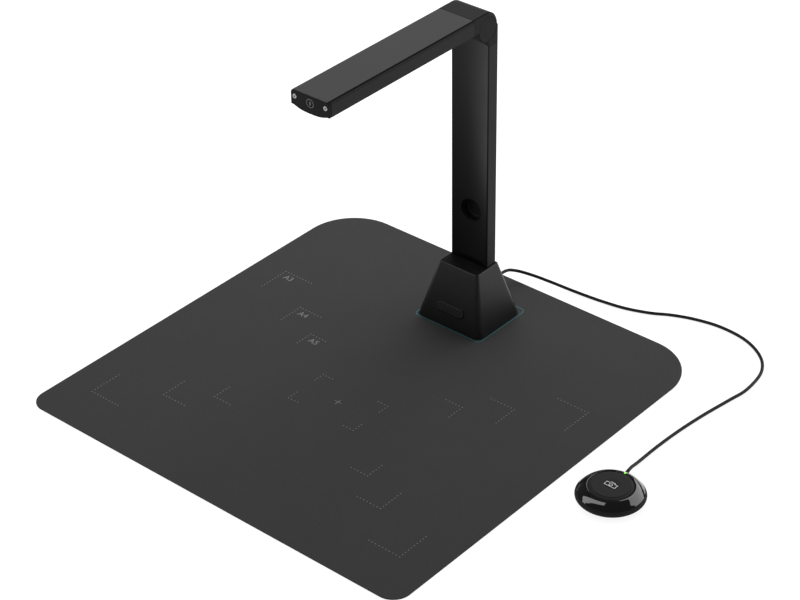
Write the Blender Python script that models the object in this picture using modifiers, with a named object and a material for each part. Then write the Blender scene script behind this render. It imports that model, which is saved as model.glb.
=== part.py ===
"""Document camera on its scanning mat, with a wired hand button.

Frame: origin on the mat's underside, halfway between its near and far edges and in the stand's
plane of symmetry, +X to the user's right, +Y away from the user, +Z up, metres. The stand is on
the mat's far edge and its arm reaches back over the page.
The rest pose is the working pose, with the arm level. The arm folds down against the post.
"""
import math

import bmesh
import bpy
from mathutils import Vector

for item in list(bpy.data.objects):
    bpy.data.objects.remove(item, do_unlink=True)

# ---------------------------------------------------------------- driving dimensions (metres)
MM = 0.001
GAP = 0.3 * MM                     # clearance left between pieces that touch

# Scanning mat
MAT_SIDE = 500 * MM
MAT_X = 1.7 * MM                   # the mat's middle lies a little to the right of the stand's
MAT_THICK = 1.5 * MM
MAT_FAR_RADIUS = 60 * MM
MAT_NEAR_RADIUS = 20 * MM

# Base of the stand: a hollow truncated pyramid
BASE_Y = 166.6 * MM                # centre of the foot
BASE_TOP_Y = 166.9 * MM            # centre of the top face
BASE_BOTTOM_Z = MAT_THICK + 1.1 * MM
BASE_TOP_Z = MAT_THICK + 66.8 * MM
BASE_FOOT_SIZE = (88 * MM, 74.5 * MM)
BASE_TOP_SIZE = (52.4 * MM, 36.4 * MM)
BASE_FOOT_RADIUS = 9 * MM
BASE_TOP_RADIUS = 3.2 * MM
BASE_EDGE_RADIUS = 1.2 * MM
BASE_WALL = 2.2 * MM
BADGE_SIZE = (38.6 * MM, 11.5 * MM)
BADGE_Z = MAT_THICK + 20.1 * MM
BADGE_PROUD = 1 * MM

# Post
POST_WIDTH = 48.8 * MM
POST_FRONT_Y = 167.6 * MM
POST_BACK_Y = 182.6 * MM
POST_HOLLOW = 3.7 * MM             # how far the front panel bows back in its middle
POST_WALL = 1.2 * MM
POST_BACK_WALL = 1.8 * MM
POST_CORNER = 2 * MM
POST_FOOT_Z = 9.2 * MM
POST_TOP_Z = 333.2 * MM

# Arm hinge
HINGE_Y = 165.5 * MM
HINGE_Z = 353.5 * MM
BARREL_RADIUS = 13.65 * MM
CAP_THICK = 1.2 * MM
PIN_RADIUS = 3 * MM
LUG_RADIUS = 9.2 * MM
LUG_HALF = 9.7 * MM
WASHER_THICK = 1.8 * MM

# Arm
ARM_WIDTH = 48.8 * MM
ARM_FRONT_Y = -72.2 * MM
ARM_METAL_END_Y = 144.7 * MM
ARM_LIP_Z = 354.2 * MM
ARM_SIDE_TOP_Z = 367.4 * MM
ARM_DECK_Z = 369.5 * MM
ARM_DECK_HALF = 23.1 * MM
ARM_WALL = 1.6 * MM
ARM_TOP_Z = 370.7 * MM
KNUCKLE_RADIUS = ARM_TOP_Z - HINGE_Z
PLATE_HALF = 21.7 * MM
END_CAP_THICK = 3 * MM
BELLY_HALF = 21 * MM
BELLY_STEP = 0.15 * MM             # how far the belly's edges stand below the lips
BELLY_DROP = 3.35 * MM
BELLY_POWER = 2.8                  # the belly is flatter in its middle than an arc
BELLY_WALL = 1.5 * MM
TOUCH_Z = 362.1 * MM
CAP_SCREW_X = 19.5 * MM
CAP_SCREW_Z = 363.4 * MM

# Camera in the arm: the folded lens rests in the post's pocket
POCKET_Z = 130.2 * MM
POCKET_RADIUS = 13.35 * MM
LENS_Y = HINGE_Y - (HINGE_Z - POCKET_Z)
LENS_RADIUS = 8.2 * MM
LENS_NECK_RADIUS = 6.6 * MM        # upper part of the barrel, inside the arm
LENS_DROP = 3.8 * MM               # how far the barrel stands out of the belly

# Hand button, which stands on the desk to the right of the mat
PUCK_X = 310 * MM
PUCK_Y = 3.5 * MM
PUCK_RADIUS = 35.4 * MM
# Outer surfaces of its two shells, in millimetres from its axis and from the desk
PUCK_UPPER = [(24.3, 16.3), (25.8, 16.0), (27.6, 15.1), (29.6, 13.7), (31.7, 11.8), (33.3, 10.1)]
PUCK_LOWER = [(33.5, 9.7), (34.7, 8.2), (35.4, 6.4), (35.1, 4.9), (33.9, 3.5), (32, 2.2),
              (29.6, 1.2)]
BUTTON_RADIUS = 22.8 * MM
BUTTON_FACE_RADIUS = 19.6 * MM
BUTTON_TOP_Z = 17.4 * MM
BUTTON_TRAVEL = 1.2 * MM
BEZEL_RADIUS = 23.3 * MM
BEZEL_Z = 16.3 * MM
RELIEF_ANGLE = math.radians(102.4)
RELIEF_Z = 5.2 * MM
RELIEF_LENGTH = 6 * MM
LED_ANGLE = math.radians(93)
LED_OFFSET = 25 * MM

# Cord and its plug
CORD_RADIUS = 1.75 * MM
CORD_STEP = 9 * MM                 # distance between the tube's points
CORD_END_GAP = 0.9 * MM            # room for the cord's bent ends at its two reliefs
PLUG_X = -5.5 * MM
PLUG_Z = 18 * MM
USB_C_X = 18 * MM
PLUG_BODY_Y = (201.2 * MM, 219.4 * MM)
PLUG_RELIEF_END_Y = 229.2 * MM

# The cord's route in millimetres: down from the plug behind the stand, along the desk past the
# mat's far right corner, and back to the hand button.
CORD_ROUTE = [
    (-5.3, 236.5, 17.9), (-4.3, 242.5, 17), (-1.8, 248, 15), (2.7, 253.8, 12.4),
    (12.1, 259.9, 9.3), (22.7, 264.4, 6.8), (40.2, 268.8, 4.2), (65.3, 272.2, 2.4),
    (96.9, 275.8, 1.8), (126.7, 281, 1.8), (153.1, 290.7, 1.8), (172, 301.4, 1.8),
    (192.4, 309.7, 1.8), (214.7, 315.2, 1.8), (233.1, 316.5, 1.8), (253.6, 314.5, 1.8),
    (271.4, 308.8, 1.8), (288.2, 298.6, 1.8), (300.4, 284.8, 1.8), (308.5, 266, 1.8),
    (311.9, 236.2, 1.8), (308.4, 210.5, 1.8), (302.9, 172.3, 1.8), (299.5, 136.5, 1.8),
    (297.8, 102.6, 1.8), (297.8, 76, 1.8), (298.3, 62, 3), (299.4, 53, 4.4),
]

ROUND = 32                         # sides of a round piece

# Frequently used turns: a section drawn in X and Z, and one drawn in Y and Z
SECTION_XZ = (math.pi / 2, 0, 0)
SECTION_YZ = (math.pi / 2, 0, math.pi / 2)
ALONG_X = (0, math.pi / 2, 0)
ALONG_Y = (-math.pi / 2, 0, 0)     # local +Z points along +Y

# ---------------------------------------------------------------- collections and materials
PARTS = bpy.data.collections.new("document_camera")
CUTTERS = bpy.data.collections.new("cutters")
bpy.context.scene.collection.children.link(PARTS)
bpy.context.scene.collection.children.link(CUTTERS)


def make_material(name, colour, roughness, metallic=0.0):
    material = bpy.data.materials.new(name)
    material.use_nodes = True
    shader = material.node_tree.nodes["Principled BSDF"]
    shader.inputs["Base Color"].default_value = (*colour, 1)
    shader.inputs["Roughness"].default_value = roughness
    shader.inputs["Metallic"].default_value = metallic
    material.diffuse_color = (*colour, 1)
    return material


# name: colour, roughness, metallic
FINISHES = {
    "mat_rubber": ((0.045, 0.045, 0.047), 0.85, 0.0),
    "base_satin": ((0.03, 0.03, 0.031), 0.4, 0.0),
    "anodised_dark": ((0.033, 0.033, 0.035), 0.42, 0.7),
    "anodised_panel": ((0.045, 0.045, 0.048), 0.45, 0.7),
    "top_plate_grey": ((0.11, 0.11, 0.115), 0.5, 0.6),
    "black_plastic": ((0.022, 0.022, 0.023), 0.5, 0.0),
    "hinge_plastic": ((0.030, 0.030, 0.032), 0.45, 0.0),
    "pocket_black": ((0.006, 0.006, 0.006), 0.6, 0.0),
    "badge_dark": ((0.02, 0.02, 0.021), 0.3, 0.0),
    "steel": ((0.55, 0.55, 0.56), 0.3, 1.0),
    "bright_screw": ((0.75, 0.75, 0.76), 0.2, 1.0),
    "rubber": ((0.012, 0.012, 0.012), 0.8, 0.0),
    "circuit_board": ((0.01, 0.09, 0.035), 0.45, 0.0),
    "sensor_black": ((0.01, 0.01, 0.012), 0.2, 0.0),
    "lens_glass": ((0.02, 0.025, 0.05), 0.05, 0.0),
    "diffuser_white": ((0.8, 0.8, 0.76), 0.4, 0.0),
    "light_grey_print": ((0.35, 0.35, 0.36), 0.4, 0.0),
    "piano_black": ((0.01, 0.01, 0.01), 0.06, 0.0),
    "matte_black": ((0.028, 0.028, 0.028), 0.6, 0.0),
    "silver_icon": ((0.7, 0.7, 0.7), 0.3, 0.8),
    "led_green": ((0.15, 0.9, 0.1), 0.3, 0.0),
    "cord_black": ((0.015, 0.014, 0.014), 0.5, 0.0),
}
MATERIALS = {name: make_material(name, *values) for name, values in FINISHES.items()}


# ---------------------------------------------------------------- modelling helpers
def place(name, mesh, finish=None, location=(0, 0, 0), rotation=(0, 0, 0)):
    """Put a mesh in the model, or among the cutters when it has no finish."""
    obj = bpy.data.objects.new(name, mesh)
    obj.location = location
    obj.rotation_euler = rotation
    if finish:
        mesh.materials.append(MATERIALS[finish])
        PARTS.objects.link(obj)
    else:
        CUTTERS.objects.link(obj)
        obj.hide_render = True
        obj.display_type = "WIRE"
    return obj


def mesh_from_bmesh(name, shape):
    mesh = bpy.data.meshes.new(name)
    shape.to_mesh(mesh)
    shape.free()
    return mesh


def smooth(obj, angle=math.radians(35)):
    obj.data.shade_smooth()
    obj.data.set_sharp_from_angle(angle=angle)
    return obj


def box(name, low, high, finish=None, bevel=0.0):
    """A box between two opposite corners, with its edges rounded when bevel is given."""
    low = Vector(low)
    high = Vector(high)
    shape = bmesh.new()
    bmesh.ops.create_cube(shape, size=1)
    bmesh.ops.scale(shape, vec=high - low, verts=shape.verts)
    obj = place(name, mesh_from_bmesh(name, shape), finish, (low + high) / 2)
    if bevel:
        round_edges(obj, bevel)
    return obj


def round_edges(obj, width, segments=2, angle=math.radians(40)):
    modifier = obj.modifiers.new("rounded edges", "BEVEL")
    modifier.width = width
    modifier.segments = segments
    modifier.limit_method = "ANGLE"
    modifier.angle_limit = angle
    return obj


def cylinder(name, centre, radius, length, rotation=(0, 0, 0), finish=None, sides=ROUND):
    """A round bar whose axis is local Z."""
    shape = bmesh.new()
    bmesh.ops.create_cone(shape, cap_ends=True, segments=sides, radius1=radius,
                          radius2=radius, depth=length)
    obj = place(name, mesh_from_bmesh(name, shape), finish, centre, rotation)
    return smooth(obj)


def turned(name, profile, centre, finish=None, rotation=(0, 0, 0), steps=ROUND):
    """Turn a profile of (radius, height) about local Z.

    The profile runs down the outer side. It is open when it starts and ends on the axis,
    and otherwise it closes on itself, which makes a ring.
    """
    points = [(radius, 0, height) for radius, height in profile]
    edges = [(i, i + 1) for i in range(len(points) - 1)]
    if profile[0][0] > 0 or profile[-1][0] > 0:
        edges.append((len(points) - 1, 0))
    mesh = bpy.data.meshes.new(name)
    mesh.from_pydata(points, edges, [])
    obj = place(name, mesh, finish, centre, rotation)
    modifier = obj.modifiers.new("turn", "SCREW")
    modifier.steps = steps
    modifier.render_steps = steps
    modifier.use_merge_vertices = True
    modifier.merge_threshold = 0.00001
    modifier.use_smooth_shade = True
    return obj


def curve_to_mesh(curve_object, name):
    """The welded mesh of a curve object, which is then removed."""
    graph = bpy.context.evaluated_depsgraph_get()
    mesh = bpy.data.meshes.new_from_object(curve_object.evaluated_get(graph))
    mesh.name = name
    mesh.materials.clear()
    shape = bmesh.new()
    shape.from_mesh(mesh)
    bmesh.ops.remove_doubles(shape, verts=shape.verts, dist=0.00001)
    bmesh.ops.recalc_face_normals(shape, faces=shape.faces)
    shape.to_mesh(mesh)
    shape.free()
    bpy.data.objects.remove(curve_object, do_unlink=True)
    return mesh


def prism(name, outline, thickness, centre=(0, 0, 0), rotation=(0, 0, 0), finish=None):
    """A flat outline in local X and Y, extruded to both sides of its plane."""
    curve = bpy.data.curves.new(name + "_outline", "CURVE")
    curve.dimensions = "2D"
    curve.fill_mode = "BOTH"
    curve.extrude = thickness / 2
    spline = curve.splines.new("POLY")
    spline.points.add(len(outline) - 1)
    for point, (x, y) in zip(spline.points, outline):
        point.co = (x, y, 0, 1)
    spline.use_cyclic_u = True
    outline_object = bpy.data.objects.new(name + "_outline", curve)
    CUTTERS.objects.link(outline_object)
    return place(name, curve_to_mesh(outline_object, name), finish, centre, rotation)


def loft(name, rings, finish=None):
    """A closed solid through rings of points that all have the same length."""
    shape = bmesh.new()
    rows = [[shape.verts.new(point) for point in ring] for ring in rings]
    count = len(rows[0])
    for lower, upper in zip(rows, rows[1:]):
        for i in range(count):
            j = (i + 1) % count
            shape.faces.new((lower[i], lower[j], upper[j], upper[i]))
    shape.faces.new(rows[0])
    shape.faces.new(rows[-1])
    bmesh.ops.recalc_face_normals(shape, faces=shape.faces)
    return smooth(place(name, mesh_from_bmesh(name, shape), finish))


def tube(name, points, radius, finish):
    """A cord through the points, with closed ends."""
    curve = bpy.data.curves.new(name, "CURVE")
    curve.dimensions = "3D"
    curve.bevel_depth = radius
    curve.bevel_resolution = 2
    curve.use_fill_caps = True
    curve.materials.append(MATERIALS[finish])
    spline = curve.splines.new("POLY")
    spline.points.add(len(points) - 1)
    for point, position in zip(spline.points, points):
        point.co = (*position, 1)
    obj = bpy.data.objects.new(name, curve)
    PARTS.objects.link(obj)
    return obj


def arc(centre, radius, start, end, steps):
    """Points on an arc, with its angles in degrees and both ends included."""
    angles = [math.radians(start + (end - start) * i / steps) for i in range(steps + 1)]
    return [(centre[0] + radius * math.cos(a), centre[1] + radius * math.sin(a)) for a in angles]


def rounded_outline(corners, steps=4):
    """An outline whose corners, given as (x, y, radius), are replaced by tangent arcs."""
    outline = []
    for i, (x, y, radius) in enumerate(corners):
        corner = Vector((x, y))
        if radius == 0:
            outline.append((x, y))
            continue
        before = (Vector(corners[i - 1][:2]) - corner).normalized()
        after = (Vector(corners[(i + 1) % len(corners)][:2]) - corner).normalized()
        half = before.angle(after) / 2
        centre = corner + (before + after).normalized() * (radius / math.sin(half))
        start = corner + before * (radius / math.tan(half)) - centre
        end = corner + after * (radius / math.tan(half)) - centre
        turn = start.angle_signed(end)
        base_angle = math.atan2(start.y, start.x)
        for k in range(steps + 1):
            angle = base_angle - turn * k / steps
            outline.append((centre.x + radius * math.cos(angle),
                            centre.y + radius * math.sin(angle)))
    return outline


def rounded_rectangle(width, depth, radius, steps=4):
    half_x = width / 2
    half_y = depth / 2
    corners = [(half_x, -half_y), (half_x, half_y), (-half_x, half_y), (-half_x, -half_y)]
    return rounded_outline([(x, y, radius) for x, y in corners], steps)


def bowed(half_width, edge, bow, steps=14):
    """Points along a shallow arc-like bow from -half_width to +half_width."""
    fractions = [-1 + 2 * i / steps for i in range(steps + 1)]
    return [(half_width * f, edge + bow * (1 - f * f)) for f in fractions]


def combine(target, others, operation):
    for other in others:
        modifier = target.modifiers.new(operation.lower(), "BOOLEAN")
        modifier.operation = operation
        modifier.solver = "EXACT"
        modifier.object = other
    return target


def cut(target, *cutters):
    return combine(target, cutters, "DIFFERENCE")


def fuse(target, *others):
    return combine(target, others, "UNION")


SIDES = {"left": -1, "right": 1}


# ---------------------------------------------------------------- scanning mat
def build_mat():
    half = MAT_SIDE / 2
    corners = [(half, -half, MAT_NEAR_RADIUS), (half, half, MAT_FAR_RADIUS),
               (-half, half, MAT_FAR_RADIUS), (-half, -half, MAT_NEAR_RADIUS)]
    prism("scan_mat", rounded_outline(corners, 8), MAT_THICK, (MAT_X, 0, MAT_THICK / 2),
          finish="mat_rubber")


# ---------------------------------------------------------------- base of the stand
def base_section(height):
    """Centre Y, width, depth and corner radius of the base at a height."""
    t = (height - MAT_THICK) / (BASE_TOP_Z - MAT_THICK)

    def blend(low, high):
        return low + (high - low) * t

    return (blend(BASE_Y, BASE_TOP_Y), blend(BASE_FOOT_SIZE[0], BASE_TOP_SIZE[0]),
            blend(BASE_FOOT_SIZE[1], BASE_TOP_SIZE[1]), blend(BASE_FOOT_RADIUS, BASE_TOP_RADIUS))


def base_face_y(height, side):
    """Y of the base's outer face: side -1 is the face towards the user, +1 the rear face."""
    centre, _, depth, _ = base_section(height)
    return centre + side * depth / 2


def base_loft(name, inset, low, high, edge, finish=None):
    """A closed solid between two heights, inset from the base's faces, with a rounded top edge."""
    levels = [(low, inset), (high - edge, inset)]
    for step in (1, 2, 3):
        angle = math.radians(30 * step)
        levels.append((high - edge + edge * math.sin(angle), inset + edge * (1 - math.cos(angle))))
    rings = []
    for height, ring_inset in levels:
        centre, width, depth, radius = base_section(height)
        outline = rounded_rectangle(width - 2 * ring_inset, depth - 2 * ring_inset,
                                    max(radius - inset, 1 * MM), 5)
        rings.append([(x, y + centre, height) for x, y in outline])
    return loft(name, rings, finish)


def build_base():
    housing = base_loft("base_housing", 0, BASE_BOTTOM_Z, BASE_TOP_Z, BASE_EDGE_RADIUS,
                        "base_satin")
    cut(housing, base_loft("base_hollow", BASE_WALL, BASE_BOTTOM_Z - 2 * MM, BASE_TOP_Z - BASE_WALL,
                           0.5 * MM))
    post_slot = box("post_slot", (-POST_WIDTH / 2 - GAP, POST_FRONT_Y - GAP, BASE_TOP_Z - 8 * MM),
                    (POST_WIDTH / 2 + GAP, POST_BACK_Y + GAP, BASE_TOP_Z + 5 * MM))

    # The badge sits in a recess of the sloping front face and stands proud of it.
    slope = math.atan2(base_face_y(BASE_TOP_Z, -1) - base_face_y(MAT_THICK, -1),
                       BASE_TOP_Z - MAT_THICK)
    tilt = (math.pi / 2 - slope, 0, 0)
    inward = Vector((0, math.cos(slope), -math.sin(slope)))
    face = Vector((0, base_face_y(BADGE_Z, -1), BADGE_Z))
    recess_depth = 1.3 * MM
    recess = prism("badge_recess", rounded_rectangle(*BADGE_SIZE, BADGE_SIZE[1] / 2 - MM / 10, 8),
                   2 * recess_depth, face, tilt)
    badge_size = (BADGE_SIZE[0] - 2 * GAP, BADGE_SIZE[1] - 2 * GAP)
    badge_thick = recess_depth - GAP + BADGE_PROUD
    badge = prism("base_badge", rounded_rectangle(*badge_size, badge_size[1] / 2 - MM / 10, 8),
                  badge_thick, face + inward * (badge_thick / 2 - BADGE_PROUD), tilt, "badge_dark")
    round_edges(badge, 0.8 * MM, 1)

    rear = base_face_y(PLUG_Z, 1)
    plug_hole = box("plug_hole", (PLUG_X - 7 * MM, rear - 5 * MM, PLUG_Z - 3.2 * MM),
                    (PLUG_X + 7 * MM, rear + 5 * MM, PLUG_Z + 3.2 * MM))
    board_top = 14.4 * MM
    port_low = board_top + GAP
    inlet_z = port_low + 1.7 * MM
    inlet_hole = box("inlet_hole", (USB_C_X - 5.4 * MM, rear - 5 * MM, inlet_z - 2.2 * MM),
                     (USB_C_X + 5.4 * MM, rear + 5 * MM, inlet_z + 2.2 * MM))
    cut(housing, post_slot, recess, plug_hole, inlet_hole)

    # Steel plate, rubber feet and screws under the housing
    plate_low = MAT_THICK + 1.8 * MM
    plate_thick = 2 * MM
    plate = prism("base_bottom_plate", rounded_rectangle(79 * MM, 66 * MM, 5 * MM),
                  plate_thick, (0, BASE_Y, plate_low + plate_thick / 2), finish="steel")
    foot_low = MAT_THICK + GAP
    foot_high = plate_low - GAP
    screw_bores = []
    for side, x_sign in SIDES.items():
        for end, y_sign in (("front", -1), ("rear", 1)):
            x = x_sign * 31 * MM
            y = BASE_Y + y_sign * 24.5 * MM
            cylinder(f"base_foot_{end}_{side}", (x, y, (foot_low + foot_high) / 2), 6 * MM,
                     foot_high - foot_low, finish="rubber", sides=24)
    for end, y_sign in (("front", -1), ("rear", 1)):
        y = BASE_Y + y_sign * 26 * MM
        turned(f"base_screw_{end}", [(0, 8.5 * MM), (1.2 * MM, 8.5 * MM), (1.2 * MM, 0.9 * MM),
                                     (2.4 * MM, 0.9 * MM), (2.4 * MM, 0), (0, 0)],
               (0, y, plate_low - 0.9 * MM - GAP), "steel", steps=16)
        screw_bores.append(cylinder(f"screw_bore_{end}", (0, y, plate_low), 1.5 * MM, 10 * MM,
                                    sides=16))
    cut(plate, *screw_bores)

    # Counterweight, and the foot that carries the post
    inside = plate_low + plate_thick + GAP
    weight = box("base_weight", (-32 * MM, 141 * MM, inside), (32 * MM, 163.5 * MM, inside + 12 * MM),
                 "steel", bevel=1 * MM)
    cut(weight, cylinder("weight_relief", (0, BASE_Y - 26 * MM, inside), 2.2 * MM, 16 * MM, sides=16))
    foot = box("post_foot_bracket", (-28 * MM, 166.5 * MM, inside), (28 * MM, 183 * MM, 8.7 * MM),
               "steel")
    tongue = box("foot_tongue", (-19 * MM, 177.2 * MM, 8 * MM), (19 * MM, 180.2 * MM, 58 * MM))
    fuse(foot, tongue)

    # Circuit board with the two ports at the rear
    box("base_board", (-28 * MM, 183.6 * MM, board_top - 1.4 * MM), (28 * MM, 196.2 * MM, board_top),
        "circuit_board")
    port = box("usb_a_port", (PLUG_X - 6.9 * MM, 184 * MM, port_low),
               (PLUG_X + 6.9 * MM, 195.6 * MM, PLUG_Z + 3.3 * MM), "steel")
    cut(port, box("usb_a_mouth", (PLUG_X - 6.3 * MM, 185.5 * MM, PLUG_Z - 2.55 * MM),
                  (PLUG_X + 6.3 * MM, 197 * MM, PLUG_Z + 2.55 * MM)))
    inlet = prism("usb_c_inlet", rounded_rectangle(9.4 * MM, 3.4 * MM, 1.6 * MM, 5), 9 * MM,
                  (USB_C_X, 191.6 * MM, inlet_z), SECTION_XZ, "steel")
    mouth = prism("usb_c_mouth", rounded_rectangle(8.4 * MM, 2.5 * MM, 1.2 * MM, 5), 8 * MM,
                  (USB_C_X, 193.4 * MM, inlet_z), SECTION_XZ)
    cut(inlet, mouth)


# ---------------------------------------------------------------- post
def build_post():
    half = POST_WIDTH / 2
    inner = half - POST_WALL
    back = POST_BACK_Y - POST_BACK_WALL
    section = [(-half, POST_FRONT_Y, 0.5 * MM), (-half, POST_BACK_Y, POST_CORNER),
               (half, POST_BACK_Y, POST_CORNER), (half, POST_FRONT_Y, 0.5 * MM),
               (inner, POST_FRONT_Y, 0), (inner, back, 1.8 * MM),
               (-inner, back, 1.8 * MM), (-inner, POST_FRONT_Y, 0)]
    length = POST_TOP_Z - POST_FOOT_Z
    prism("post_channel", rounded_outline(section, 3), length,
          (0, 0, POST_FOOT_Z + length / 2), finish="anodised_dark")

    front = bowed(inner - GAP, POST_FRONT_Y, POST_HOLLOW)
    thick = 2 * MM
    outline = front + [(x, y + thick) for x, y in reversed(front)]
    foot = BASE_TOP_Z - 6 * MM
    panel = prism("post_front_panel", outline, POST_TOP_Z - foot, (0, 0, (POST_TOP_Z + foot) / 2),
                  finish="anodised_panel")
    hole = cylinder("pocket_hole", (0, POST_FRONT_Y, POCKET_Z), POCKET_RADIUS, 30 * MM, ALONG_Y)
    cut(panel, hole)

    # Cup behind the hole, which takes the lens when the arm is folded
    outer = POCKET_RADIUS - GAP
    wall = 0.8 * MM
    rim_y = POST_FRONT_Y + POST_HOLLOW + 0.4 * MM
    depth = POST_BACK_Y - POST_BACK_WALL - GAP - rim_y
    floor = 0.9 * MM
    turned("lens_pocket_cup", [(0, depth), (outer, depth), (outer, 0), (outer - wall, 0),
                               (outer - wall, depth - floor), (0, depth - floor)],
           (0, rim_y, POCKET_Z), "pocket_black", ALONG_Y)


# ---------------------------------------------------------------- hinge between post and arm
def build_hinge():
    half = POST_WIDTH / 2
    block_low = POST_TOP_Z + GAP
    neck_top = HINGE_Z - 0.5 * MM
    axis = (0, HINGE_Y, HINGE_Z)

    # Bracket: a foot block shaped as the post, a rear neck and a barrel across the top
    front = bowed(half, POST_FRONT_Y, POST_HOLLOW)
    block_outline = front + rounded_outline([(half, POST_FRONT_Y, 0), (half, POST_BACK_Y, POST_CORNER),
                                             (-half, POST_BACK_Y, POST_CORNER),
                                             (-half, POST_FRONT_Y, 0)], 3)[1:-1]
    block_height = HINGE_Z - 12 * MM - block_low
    bracket = prism("post_hinge_bracket", block_outline, block_height,
                    (0, 0, block_low + block_height / 2), finish="hinge_plastic")
    neck_outline = rounded_outline([(-half, HINGE_Y + 8 * MM, 0), (half, HINGE_Y + 8 * MM, 0),
                                    (half, POST_BACK_Y, POST_CORNER),
                                    (-half, POST_BACK_Y, POST_CORNER)], 3)
    neck_low = block_low + block_height / 2
    neck = prism("bracket_neck", neck_outline, neck_top - neck_low, (0, 0, (neck_top + neck_low) / 2))
    barrel_half = half - CAP_THICK - GAP
    barrel = cylinder("bracket_barrel", axis, BARREL_RADIUS, 2 * barrel_half, ALONG_X, sides=40)
    spigot = box("bracket_spigot", (-21 * MM, 177.2 * MM, 305 * MM), (21 * MM, 180.4 * MM, 336 * MM))
    slot_half = LUG_HALF + GAP + WASHER_THICK + GAP
    slot = box("lug_slot", (-slot_half, HINGE_Y - 20 * MM, HINGE_Z - 16 * MM),
               (slot_half, HINGE_Y + 3.4 * MM, HINGE_Z + 20 * MM))
    slot_round = cylinder("lug_slot_round", axis, LUG_RADIUS + 0.5 * MM, 2 * slot_half, ALONG_X,
                          sides=40)
    pin_bore = cylinder("pin_bore", axis, PIN_RADIUS + GAP, 3 * half, ALONG_X, sides=24)
    fuse(bracket, neck, barrel, spigot)
    cut(bracket, slot, slot_round, pin_bore)
    head_length = 3 * MM
    for side, sign in SIDES.items():
        recess_length = 10 * MM
        recess = cylinder(f"cap_recess_{side}", (sign * (barrel_half + recess_length / 2), HINGE_Y,
                                                 HINGE_Z), BARREL_RADIUS + GAP, recess_length,
                          ALONG_X, sides=40)
        counterbore = cylinder(f"pin_counterbore_{side}", (sign * barrel_half, HINGE_Y, HINGE_Z),
                               6.4 * MM, 2 * (head_length + GAP), ALONG_X, sides=24)
        cut(bracket, recess, counterbore)
        cap = cylinder(f"hinge_cap_{side}", (sign * (half - CAP_THICK / 2), HINGE_Y, HINGE_Z),
                       BARREL_RADIUS, CAP_THICK, ALONG_X, "hinge_plastic", sides=40)
        round_edges(cap, 0.3 * MM, 1)
        offset = LUG_HALF + GAP + WASHER_THICK / 2
        turned(f"friction_washer_{side}", ring_profile(PIN_RADIUS + GAP, 8.4 * MM, WASHER_THICK),
               (sign * offset, HINGE_Y, HINGE_Z), "steel", ALONG_X, 24)

    # Pin with a round head on the left and a nut on the right
    head_x = -barrel_half + GAP
    pin_end = barrel_half - GAP
    turned("hinge_pin", [(0, pin_end), (PIN_RADIUS, pin_end), (PIN_RADIUS, head_x + head_length),
                         (5.6 * MM, head_x + head_length), (5.6 * MM, head_x), (0, head_x)],
           axis, "steel", ALONG_X, 24)
    nut = cylinder("hinge_nut", (pin_end - 1.5 * MM, HINGE_Y, HINGE_Z), 5.8 * MM, 2.4 * MM, ALONG_X,
                   "steel", 6)
    cut(nut, cylinder("nut_bore", axis, PIN_RADIUS + GAP, 3 * half, ALONG_X, sides=24))


def ring_profile(inner, outer, height):
    """Section of a flat ring, centred on its own mid-plane."""
    return [(outer, height / 2), (outer, -height / 2), (inner, -height / 2), (inner, height / 2)]


# ---------------------------------------------------------------- arm
def arm_outline():
    """Outer section of the arm above its lips, in X and Z."""
    half = ARM_WIDTH / 2
    return [(-half, ARM_LIP_Z), (half, ARM_LIP_Z), (half, ARM_SIDE_TOP_Z),
            (ARM_DECK_HALF, ARM_DECK_Z), (-ARM_DECK_HALF, ARM_DECK_Z), (-half, ARM_SIDE_TOP_Z)]


def belly_z(x):
    """Height of the belly's lower face."""
    return ARM_LIP_Z - BELLY_STEP - BELLY_DROP * (1 - abs(x / BELLY_HALF) ** BELLY_POWER)


def belly_curve(inset=0.0, steps=16):
    """Lower face of the belly from right to left, in X and Z, or a line inset from it."""
    line = [BELLY_HALF * (1 - 2 * i / steps) for i in range(steps + 1)]
    return [(x, belly_z(x) + inset) for x in line]


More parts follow.
